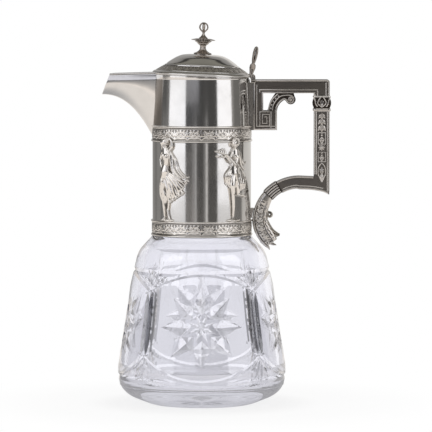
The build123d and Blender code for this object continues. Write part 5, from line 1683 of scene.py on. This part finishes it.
# the leaf at the end of the arm: radii and half widths by degrees round the arm's centre
leaf = {
    "from": 139,
    "to": 216,
    "back": [(139, 35.8), (150, 35.95), (165, 35.9), (180, 35.7), (192, 34.6), (203, 33.3), (212, 32), (217, 31.4)],
    "front": [(139, 27.2), (146, 26.4), (155, 25.6), (163, 25.2), (171, 24.4), (180, 23.2), (190, 21.8), (200, 20.6),
              (210, 20.4), (217, 21.4)],
    "half": [(139, 4.75), (160, 4.9), (185, 4.7), (205, 4.3), (217, 3.6)],
    "lobes": 8.5,
    "stations": 190,
    "around": 72,
    "veins": (0.15, 0.66),  # where the two grooves run, from back 0 to front 1
    # the curling tips: line by degrees and radius, widths along it, half depth
    "tips": [([(205, 31.6), (212, 30.6), (218, 30), (222.5, 30.4)], [3.6, 3.2, 2.2, 0.5], 3.6),
             ([(203, 28.2), (211, 27), (218, 25.9), (224, 24.3)], [4.2, 3.6, 2.6, 0.7], 3.4),
             ([(196, 24.2), (203, 22.4), (209, 20.2), (212.5, 17.7)], [3.8, 3.4, 2.6, 0.8], 3.2),
             ([(176, 24.6), (186, 22.6), (196, 20.8), (205, 18.8), (210.5, 17.2)], [2.2, 2.4, 2.2, 2, 1], 3.9)],
    "curl": [(176, 25.2), (170, 25.3), (165.5, 25.6)],
    "curlCentre": (165.4, 23.4),
    "curlWidths": [2.6, 2.3, 2.2, 2.1, 1.9, 1.7],
    "curlHalf": 4.4,
    "tipRing": 20,
}


def pick(table, place):
    return float(np.interp(place, [p[0] for p in table], [p[1] for p in table]))


def leafBody():
    g, c = leaf, handle["armCentre"]
    stations, around = g["stations"], g["around"]
    points, hollows = [], []
    for i in range(stations + 1):
        share = i / stations
        angle = g["from"] + (g["to"] - g["from"]) * share
        back, front, half = (pick(g[key], angle) for key in ("back", "front", "half"))
        grown = limited((angle - 146) / 14)
        along, turn = share * 42, radians(angle)
        for j in range(around):
            t = 2 * pi * j / around
            q = (1 - signedPower(cos(t), 0.6)) / 2  # 0 at the back, 1 at the front edge
            side = signedPower(sin(t), 0.45)
            lobe = abs(sin(g["lobes"] * (share - 0.10 * q ** 1.5) * pi))
            radius = back + (front - back) * q
            radius += grown * 0.5 * (0.5 - lobe) * max(0, q - 0.55) / 0.45
            groove = sum(exp(-((q - vein) / 0.035) ** 2) for vein in g["veins"])
            inside = limited((q - 0.17) / 0.04) * limited((0.64 - q) / 0.04)
            swirl = sin(1.75 * along + 2.6 * sin(9 * q)) * sin(13 * q + 1.5 * sin(0.95 * along + 0.6))
            swirl += 0.45 * sin(3.6 * along + 5 * q) * sin(21 * q - 0.8 * along)
            flank = limited((q - 0.70) / 0.06) * limited((0.97 - q) / 0.1)
            carve = grown * (inside * (0.46 * swirl - 0.2) - 0.75 * groove + flank * (0.12 - 0.08 * (1 - lobe ** 0.6)))
            width = half * abs(side) + carve * min(1, abs(side) * 1.4)
            y = max(0.15, width) * (1 if side >= 0 else -1) if abs(side) > 0.05 else width * side
            points.append((c[0] + radius * cos(turn), y, c[1] + radius * sin(turn)))
            hollows.append(limited(0.12 - 0.85 * carve) * min(1, abs(side) * 1.3))
    body = makePiece("leafBody", points, tubeFaces(stations + 1, around), cast, 60, weld=0)
    paintPatinaAndShade(body, hollows)
    return body


def leafTip(line, widths, half):
    line = [Vector(p) for p in smoothLine(line, 6)]
    last, ring = len(line) - 1, leaf["tipRing"]
    points = []
    for i, p in enumerate(line):
        along = (line[min(i + 1, last)] - line[max(i - 1, 0)]).normalized()
        side = Vector((-along.y, along.x))
        w = float(np.interp(i / last, np.linspace(0, 1, len(widths)), widths))
        deep = half * (0.55 + 0.45 * min(1, w / max(widths)))
        for j in range(ring):
            t = 2 * pi * j / ring
            q = p + side * (w / 2 * cos(t))
            points.append((q.x, deep * sin(t) * (1 + 0.10 * cos(8 * t)), q.y))
    tip = makePiece("leafTip", points, tubeFaces(last + 1, ring), cast, 60)
    markHollows(tip, 4, 2.5, 0.05)
    return tip


def buildLeaf():
    g, c = leaf, handle["armCentre"]

    def polar(pairs):
        return [(c[0] + r * cos(radians(a)), c[1] + r * sin(radians(a))) for a, r in pairs]

    curl = polar(g["curl"]) + spiral(polar([g["curlCentre"]])[0], 2.4, 0.5, radians(170), -1.1, 14)
    parts = [leafBody()] + [leafTip(polar(line), widths, half) for line, widths, half in g["tips"]]
    parts.append(leafTip(curl, g["curlWidths"], g["curlHalf"]))
    settle(joinPieces("acanthusLeaf", parts), "jug", "plate_cast", "leaf_terminal")


buildFrame()
buildBracket()
buildCalyx()
buildGrip()
buildClasp()
buildLeaf()
print("handle built")


# the hinge: two ears on a seat for the jug, one knuckle on an arm for the lid
hinge = {
    "radius": 2.1,
    "bore": 0.86,
    "easing": 0.25,
    "width": 14,
    "lidWidth": 6,
    "gap": 0.3,
    # outlines, from the pin
    "earFoot": [(-1.4, -0.2), (-1.4, -3.716), (2.1, -3.716), (2.1, -0.2)],
    "seat": [(-1.3, -4.216), (2.1, -4.216), (2.1, -2.75), (-1.3, -2.75)],
    "arm": [(-0.2, 1.8), (-3.2, 2), (-3.4, 0.2), (-1.7, -0.15), (-0.4, 0.9)],
}


def knuckle(name, low, high):
    bore, r = hinge["bore"], hinge["radius"]
    profile = softCorners([(bore, low), (r, low), (r, high), (bore, high)], hinge["easing"])
    return lathe(name, profile, cast, 48, alongPin)


def buildHinge():
    g, (px, pz) = hinge, hingePin
    lidHalf, half = g["lidWidth"] / 2, g["width"] / 2
    ear = lidHalf + g["gap"]
    parts = []
    for side in (-1, 1):
        parts.append(knuckle("ear", *sorted((side * ear, side * half))))
        parts.append(flatPlate("earFoot", shifted(g["earFoot"], px, pz), half - ear, 0.2, side * (ear + half) / 2))
    parts.append(flatPlate("hingeSeat", shifted(g["seat"], px, pz), g["width"], 0.15))
    arm = flatPlate("middleArm", shifted(g["arm"], px, pz), g["lidWidth"] - 0.1, 0.15)
    for name, pieces, body, node in (("hingeBlock", parts, "jug", "hinge_block"),
                                     ("lidKnuckle", [knuckle("middle", -lidHalf, lidHalf), arm], "lid", "lid_knuckle")):
        piece = joinPieces(name, pieces)
        markHollows(piece, 3, 2.5, 0.35)
        settle(piece, body, "plate_cast", node)


# the thumbpiece: a fluted loop of strap on a waisted stem
thumb = {
    "length": 22,
    "lean": 11.5,
    "depth": 4.2,
    "strap": 1.65,
    "foot": (-1.2, 1.8),  # from the pin
    "loopFrom": 0.36,
    "topWidth": 12.5,
    # width by share of the length, and half thickness of the stem by share of the stem
    "widths": [(0, 6), (0.2, 5.6), (0.4, 7.4), (0.62, 11.2), (0.8, 12.5), (0.93, 9.6), (1, 5.2)],
    "stemHalf": [(0, 1.5), (0.12, 1.25), (0.3, 1.5), (0.6, 2.1), (0.85, 1.9), (1, 0.9)],
    "loopSteps": 96,
    "loopRing": 28,
    "stemRows": 30,
    "stemRing": 36,
    "flutes": 5,
    "stemFlute": 2.4,
}


def buildThumbpiece():
    g = thumb
    lean, strap, high = radians(g["lean"]), g["strap"], g["length"]
    up, out = Vector((sin(lean), 0, cos(lean))), Vector((cos(lean), 0, -sin(lean)))
    foot = Vector((hingePin[0] + g["foot"][0], 0, hingePin[1] + g["foot"][1]))
    low, reach = high * g["loopFrom"], g["depth"] / 2 - strap / 2

    def place(h, x, y):
        return foot + up * h + out * x + Vector((0, y, 0))

    points = []
    for i in range(g["loopSteps"]):
        t = 2 * pi * i / g["loopSteps"]
        h = (low + high) / 2 - 0.3 + (high - low - strap) / 2 * cos(t)
        x = reach * sin(t) * (0.78 + 0.22 * cos(t))
        normal = Vector((sin(t), cos(t) * 0.35)).normalized()
        for j in range(g["loopRing"]):
            a = 2 * pi * j / g["loopRing"]
            y = pick(g["widths"], h / high) / 2 * signedPower(cos(a), 0.7)
            flute = 0.16 * cos(g["flutes"] * 2 * pi * y / g["topWidth"])
            lift = strap / 2 * signedPower(sin(a), 0.6) * (1 + flute)
            points.append(place(h + normal.y * lift, x + normal.x * lift, y))
    loop = makePiece("thumbLoop", points, tubeFaces(g["loopSteps"], g["loopRing"], looped=True), bronzed, 60)
    points = []
    for i in range(g["stemRows"] + 1):
        share = i / g["stemRows"]
        h = -0.6 + (low + 1.6) * share
        half, wide = pick(g["stemHalf"], share), pick(g["widths"], max(0, h) / high) / 2
        for j in range(g["stemRing"]):
            a = 2 * pi * j / g["stemRing"]
            y = wide * signedPower(cos(a), 0.6)
            points.append(place(h, half * signedPower(sin(a), 0.7) * (1 + 0.12 * cos(2 * pi * y / g["stemFlute"])), y))
    stem = makePiece("thumbStem", points, tubeFaces(g["stemRows"] + 1, g["stemRing"]), bronzed, 60)
    piece = joinPieces("thumbpiece", [loop, stem])
    markHollows(piece, 4, 2.5, 0.08)
    settle(piece, "lid", "plate_cast", "thumbpiece")


buildHinge()
buildThumbpiece()
print("hinge built")


# the figures: cast in relief, built flat from rounded limbs and folds, then fused to one skin
figures = {
    "base": 140.3,
    "radius": 37.35,
    "voxel": 0.3,
    "bury": 0.45,
    "dancingMaiden": {"maiden_front": -133.8, "maiden_back": 46.2},  # degrees round from the handle
    "pipePlayer": {"piper_front": -50.2, "piper_back": 129.8},
    "limbRing": 12,
    "ballRows": 9,
    "ballRing": 14,
    "plinth": ([(-6, -0.2, 0.9), (0, 0.2, 0.7), (6, -0.2, 0.9)], [0.9, 1.3, 0.9], 1.4),
}
roundEnd = [(0.35, 0.94), (0.7, 0.71), (0.94, 0.34)]  # distance along and width, in radii
# the parts of a face, with their places and sizes: cheeks, nose, lips, chin, brows
faceParts = [((0, 0, 0), (1.9, 1.7, 2.6)), ((0.9, 1.35, -0.1), (0.42, 0.55, 0.75)),
             ((0.6, 1.1, -1.25), (0.6, 0.45, 0.28)), ((0.4, 0.8, -2.15), (0.75, 0.7, 0.55)),
             ((-0.55, 1.15, 0.95), (0.62, 0.4, 0.26)), ((1.25, 1.15, 0.95), (0.62, 0.4, 0.26))]


class Clay:  # places are across, out and up from the foot of a figure

    def __init__(self):
        self.points, self.faces = [], []

    def limb(self, path, radii, squash=1.0, straight=False):
        line = [Vector(p) for p in (path if straight else smoothLine(path, 4))]
        last, ring, start = len(line) - 1, figures["limbRing"], len(self.points)
        sizes = np.interp(np.linspace(0, 1, last + 1), np.linspace(0, 1, len(radii)), radii)
        for i, p in enumerate(line):
            along = (line[min(i + 1, last)] - line[max(i - 1, 0)]).normalized()
            side = along.cross(Vector((0, 1, 0)))
            side = side.normalized() if side.length > 0.1 else Vector((1, 0, 0))
            up = side.cross(along).normalized()
            caps = [(-shift, share) for shift, share in reversed(roundEnd)] if i == 0 else []
            for shift, share in caps + [(0, 1)] + (roundEnd if i == last else []):
                for j in range(ring):
                    a = 2 * pi * j / ring
                    self.points.append(p + along * shift * sizes[i]
                                       + (side * cos(a) + up * sin(a) * squash) * sizes[i] * share)
        self.faces += tubeFaces((len(self.points) - start) // ring, ring, start)

    def straightLimb(self, *limb):
        self.limb(*limb, straight=True)

    def ball(self, centre, sizes, turn=0.0):
        rows, ring = figures["ballRows"], figures["ballRing"]
        self.faces += tubeFaces(rows, ring, len(self.points))
        for i in range(rows):
            b = pi * (i + 0.5) / rows - pi / 2
            for j in range(ring):
                a = 2 * pi * j / ring
                x, y, z = sizes[0] * cos(b) * cos(a), sizes[1] * cos(b) * sin(a), sizes[2] * sin(b)
                self.points.append(Vector((centre[0] + x * cos(turn) + z * sin(turn), centre[1] + y,
                                           centre[2] - x * sin(turn) + z * cos(turn))))

    def head(self, u, z, out, tilt, side, bun):
        self.ball((u, out, z), (2.75, 2.9, 3.45), tilt)
        face = Vector((u + 0.9 * side, out + 1.3, z - 0.5))
        for shift, sizes in faceParts:
            self.ball(face + Vector((shift[0] * side, shift[1], shift[2])), sizes, tilt)
        for k in range(9):  # hair in waves round the head
            a = radians(-20 + 27 * k)
            self.ball((u - side * 0.4 + 2.6 * cos(a), out + 0.5, z + 0.9 + 2.9 * sin(a)), (0.95, 1.7, 0.85), a)
        self.ball((u + bun[0], out + 0.2, z + bun[1]), (1.7, 1.6, 1.5), tilt)


def dancingMaiden():
    clay = Clay()
    clay.head(-0.6, 59.6, 1.7, -0.15, -1, (2.2, 2))
    clay.ball((-1.5, 3.2, 49.6), (1.5, 1.3, 1.5))
    clay.ball((1.7, 3.2, 49.4), (1.5, 1.3, 1.5))
    for limb in (
            ([(-0.4, 1.2, 56.6), (-0.2, 1.1, 54.2)], [1.35, 1.5]),  # neck and body
            ([(-0.3, 1, 53.6), (0.3, 1.3, 50), (0.3, 1.2, 46), (-0.4, 1.2, 42)], [3.3, 3.5, 2.9, 2.6], 0.75),
            ([(-0.5, 1.2, 42), (-1, 1.6, 38), (-1.6, 1.7, 34)], [2.7, 3.9, 3.7], 0.75),
            ([(-2.6, 2, 36), (-2.9, 2.6, 29), (-2.4, 2.2, 21)], [2.6, 2.1, 1.5], 0.85),  # front leg
            ([(-2.4, 2.2, 21), (-1.9, 1.5, 12), (-1.5, 1.1, 3.6)], [1.35, 1.25, 0.75]),
            ([(-1.5, 1.2, 2.8), (-2.4, 2.4, 1.2), (-3.6, 3, 0.8)], [0.8, 0.8, 0.5]),
            ([(0.8, 1, 34), (3.6, 1.6, 27), (3, 1.2, 18), (1.8, 0.9, 9)], [2.5, 1.9, 1.2, 0.85], 0.8),
            ([(1.2, 0.8, 9), (2.2, 0.9, 4.5), (3.4, 1.3, 1.6)], [1, 0.85, 0.6]),
            # arms: one lifts a veil over the head, one rests on the hip
            ([(2.9, 1.3, 52.8), (5.6, 1.5, 55.8), (5.4, 1.5, 60), (3.6, 1.6, 62.4)], [1.35, 1.15, 0.95, 0.7]),
            ([(-3, 1.2, 52.8), (-5.4, 1.4, 48.6), (-5.4, 1.9, 44.2), (-3.6, 2.4, 41.2)], [1.35, 1.2, 1, 0.75]),
            ([(3.6, 1, 62.4), (0.4, 0.8, 63.8), (-3.2, 0.9, 62.6), (-5.2, 0.7, 58.6), (-5.6, 0.6, 54)],
             [0.6, 0.8, 0.7, 0.6, 0.4]),
            ([(-4.4, 1.6, 60), (-2.2, 2.2, 56.6), (1, 2.4, 53), (4.2, 1.9, 50), (5.2, 1.7, 44),
              (6.6, 1.6, 38), (9.6, 1.5, 33.6)], [0.5, 0.85, 1, 1, 0.95, 0.9, 0.6]),
            ([(16, 0.7, 29.6), (18, 0.9, 31.4), (19.2, 0.6, 30.2)], [0.8, 0.7, 0.35]), figures["plinth"]):
        clay.limb(*limb)
    for k in range(5):  # veil from the shoulder down the right side
        d, o = k * 1.15, 0.35 + 0.9 * (k % 2)
        clay.limb([(3.4 + d * 0.35, o, 53.5 - d * 0.4), (5.4 + d * 0.8, o + 0.2, 46.5), (6.0 + d * 1.2, o + 0.3, 39.5),
                   (9.5 + d * 1.7, o + 0.3, 34.5 - d * 0.2), (13.5 + d * 1.35, o, 32.0 + d * 0.4)],
                  [0.5, 0.6, 0.65, 0.7, 0.35])
    for k in range(6):  # gathered girdle
        clay.limb([(-4.4 + k * 0.2, 1.2, 40.6 - k * 0.55), (-0.6, 2.7, 38.7 - k * 0.7), (3.8, 1.6, 36.8 - k * 0.8)],
                  [0.55, 0.75, 0.55])
    # the flying skirt: long folds that leave the hip down to the right
    folds = [(-3.6, 35, -4.6, 24, -3.9, 15.5), (-2.2, 34, -1.4, 24, -0.2, 14.2),
             (-0.8, 33.5, 2, 24.5, 3.6, 14.8), (0.6, 33.5, 4.6, 25.5, 6.8, 15.8),
             (1.8, 34, 6.6, 27, 9.4, 18.2), (2.8, 34.6, 8.6, 28.6, 11.8, 21.4),
             (3.6, 35.4, 10, 30.4, 14.2, 24.6), (4.4, 36.2, 10.8, 32.2, 16.4, 28)]
    for n, (u0, z0, u1, z1, u2, z2) in enumerate(folds):
        wave = 1.2 if n % 2 else -0.8
        clay.limb([(u0, 2.2, z0), ((u0 + u1) / 2 + 0.3 * wave, 2.6 - 0.12 * n, (z0 + z1) / 2), (u1, 2.3 - 0.14 * n, z1),
                   ((u1 + u2) / 2 + 0.5 * wave, 1.9 - 0.1 * n, (z1 + z2) / 2), (u2, 1.2 - 0.05 * n, z2)],
                  [1, 1.25, 1.25, 1.15, 0.8])
        clay.limb([(u1, 1.4 - 0.1 * n, z1 - 0.6), ((u1 + u2) / 2 + 1.2, 1.1, (z1 + z2) / 2 + 0.2),
                   (u2 + 1.5, 0.7, z2 + 1.2)], [0.8, 0.9, 0.5])
    for n in range(5):  # turned-back hem
        clay.limb([(13.6 - n * 2.6, 1.3, 23.4 - n * 2), (15.2 - n * 2.7, 1.5, 21.6 - n * 1.7),
                   (13.2 - n * 2.5, 1.2, 19.6 - n * 1.4)], [0.7, 0.8, 0.45])
    return clay


def pipePlayer():
    clay = Clay()
    clay.head(-0.2, 58.8, 1.9, 0.12, -1, (2.1, -0.6))
    clay.ball((-1.2, 3.1, 48.9), (1.4, 1.2, 1.4))
    clay.ball((1.7, 3.1, 48.7), (1.4, 1.2, 1.4))
    for limb in (
            ([(0.2, 1.3, 55.8), (0.6, 1.2, 53.4)], [1.35, 1.5]),  # neck and body
            ([(0.8, 1.1, 52.8), (0.6, 1.4, 48.5), (-0.2, 1.3, 44), (-0.6, 1.2, 40.5)], [3.3, 3.3, 2.7, 2.8], 0.75),
            ([(-0.6, 1.3, 40.5), (-0.3, 1.6, 36.5), (0, 1.6, 33)], [2.8, 3.6, 3.3], 0.75),
            ([(-1.4, 1.9, 34), (-2.4, 2.4, 27), (-1.9, 2.1, 20.5)], [2.4, 2, 1.4], 0.9),  # standing leg
            ([(-1.9, 2.1, 20.5), (-1.2, 1.5, 12), (-1.3, 1.1, 3.6)], [1.35, 1.25, 0.75]),
            ([(-1.3, 1.2, 2.8), (-2.4, 2.3, 1.2), (-3.8, 2.8, 0.8)], [0.8, 0.75, 0.5]),
            ([(1.4, 1.6, 33), (2.6, 2.3, 26), (2.8, 2.3, 20.6)], [2.4, 1.9, 1.4], 0.85),  # leg kicked up behind
            ([(2.8, 2.3, 20.4), (6.4, 2.2, 19.6), (9.6, 2, 18.8)], [1.35, 1.15, 0.8]),
            ([(9.6, 2, 18.8), (11.4, 1.9, 18), (13.2, 1.6, 17.6)], [0.85, 0.8, 0.45]),
            # both arms bring the pipes up in front
            ([(-2.2, 1.4, 52), (-4.4, 2, 47.6), (-4.6, 2.4, 44.8)], [1.2, 1, 0.9]),
            ([(-4.6, 2.4, 44.8), (-7.2, 2.4, 48), (-9.4, 2.1, 51.4)], [0.9, 0.85, 0.6]),
            # a sash over the arm that blows out behind
            ([(3, 1, 54), (6.4, 0.9, 50.2), (8.2, 0.8, 45.4), (11.6, 0.8, 42.6), (13.8, 0.6, 44.4)],
             [0.7, 0.95, 1, 0.9, 0.45]),
            ([(3.8, 1.1, 52.4), (6, 1.1, 47.6), (7.2, 1, 42.4), (10.2, 0.9, 39.4), (12.8, 0.6, 38.6)],
             [0.7, 0.95, 1, 0.9, 0.4]), figures["plinth"]):
        clay.limb(*limb)
    clay.straightLimb([(3.6, 1.6, 52), (1.6, 3, 47.4), (-0.9, 3.9, 42.8)], [1.2, 1.1, 1])
    clay.straightLimb([(-0.9, 3.9, 42.8), (-4, 3.5, 46.2), (-7.8, 2.7, 50.6)], [1, 0.95, 0.65])
    clay.straightLimb([(-8, 2.1, 52.6), (-15, 1.4, 52.9)], [0.5, 0.5])
    for k in range(5):  # the pipes
        clay.straightLimb([(-8.6 - 1.5 * k, 2.0 - 0.12 * k, 50.6 + 0.5 * k),
                           (-9.6 - 1.5 * k, 1.8 - 0.12 * k, 54.6 - 0.4 * k)], [0.75, 0.7])
    for k in range(4):  # fingers
        clay.ball((-9.4 - 1.7 * k, 1.7, 48.6 + 0.6 * (k % 2)), (0.9, 0.9, 0.9))
    for k in range(6):  # folds behind
        u = 4.4 + 1.5 * k
        clay.limb([(3.6 + 0.5 * k, 1.5 - 0.1 * k, 42.6 - 0.5 * k), (u + 0.6, 1.7 - 0.16 * k, 35.0 - 0.5 * k),
                   (u - 0.3 + 0.5 * (k % 2), 1.6 - 0.16 * k, 28), (u + 0.5, 1.2 - 0.12 * k, 22.5 + 0.35 * k)],
                  [0.7, 0.95, 1, 0.5])
    for k in range(4):  # folds in front
        u = -4.0 - 1.25 * k
        clay.limb([(-2.6 - 0.35 * k, 1.8 - 0.15 * k, 41.5 - 0.4 * k), (u, 1.9 - 0.2 * k, 35),
                   (u + 0.5, 1.6 - 0.2 * k, 29.5), (u - 0.4, 1.2 - 0.15 * k, 25.5 + 0.9 * k)], [0.65, 0.9, 0.9, 0.45])
    for k in range(5):  # girdle, and folds over the thighs
        u = -2.6 + 1.3 * k
        clay.limb([(-3.6 + 0.25 * k, 1.4, 41.6 - 0.75 * k), (0.2, 3.2, 40.0 - 0.9 * k), (4.4, 1.7, 41.0 - 1.0 * k)],
                  [0.5, 0.72, 0.5])
        clay.limb([(u * 0.8, 3, 37), (u * 1.15 - 0.3, 3.1, 31), (u * 1.3, 2.7, 25.8 - 0.5 * (k % 2))],
                  [0.6, 0.8, 0.45])
    return clay


def fuse(name, clay):
    piece = makePiece(name, clay.points, clay.faces, relief, weld=0, outward=False)
    modified(piece, "REMESH", mode="VOXEL", voxel_size=figures["voxel"] * mm)
    modified(piece, "SMOOTH", factor=0.5, iterations=2)
    mesh = piece.data
    bm = bmesh.new()
    bm.from_mesh(mesh)
    bmesh.ops.delete(bm, geom=[v for v in bm.verts if v.co.y < -0.8 * mm], context="VERTS")
    bmesh.ops.holes_fill(bm, edges=[e for e in bm.edges if e.is_boundary])
    bm.to_mesh(mesh)
    bm.free()
    mesh.shade_smooth()
    markHollows(piece, 8, 4.6, -0.05)
    return piece


def wrapOn(piece, azimuth):  # bends a flat figure round the sleeve
    across, out, up = (coordsOf(piece.data) / mm).T
    r = figures["radius"] + np.maximum(out, -figures["bury"])
    turn = radians(azimuth) + across / (figures["radius"] + 1)
    places = np.stack([r * np.cos(turn), r * np.sin(turn), figures["base"] + up], axis=1) * mm
    piece.data.vertices.foreach_set("co", places.ravel())
    piece.data.update()


def buildFigures():
    for make in (dancingMaiden, pipePlayer):
        name = make.__name__
        front = fuse(name + "Front", make())
        back = addObject(name + "Back", front.data.copy())
        for piece, (node, azimuth) in zip((front, back), figures[name].items()):
            wrapOn(piece, azimuth)
            settle(piece, "jug", "plate_cast", node)


buildFigures()
print("figures built")
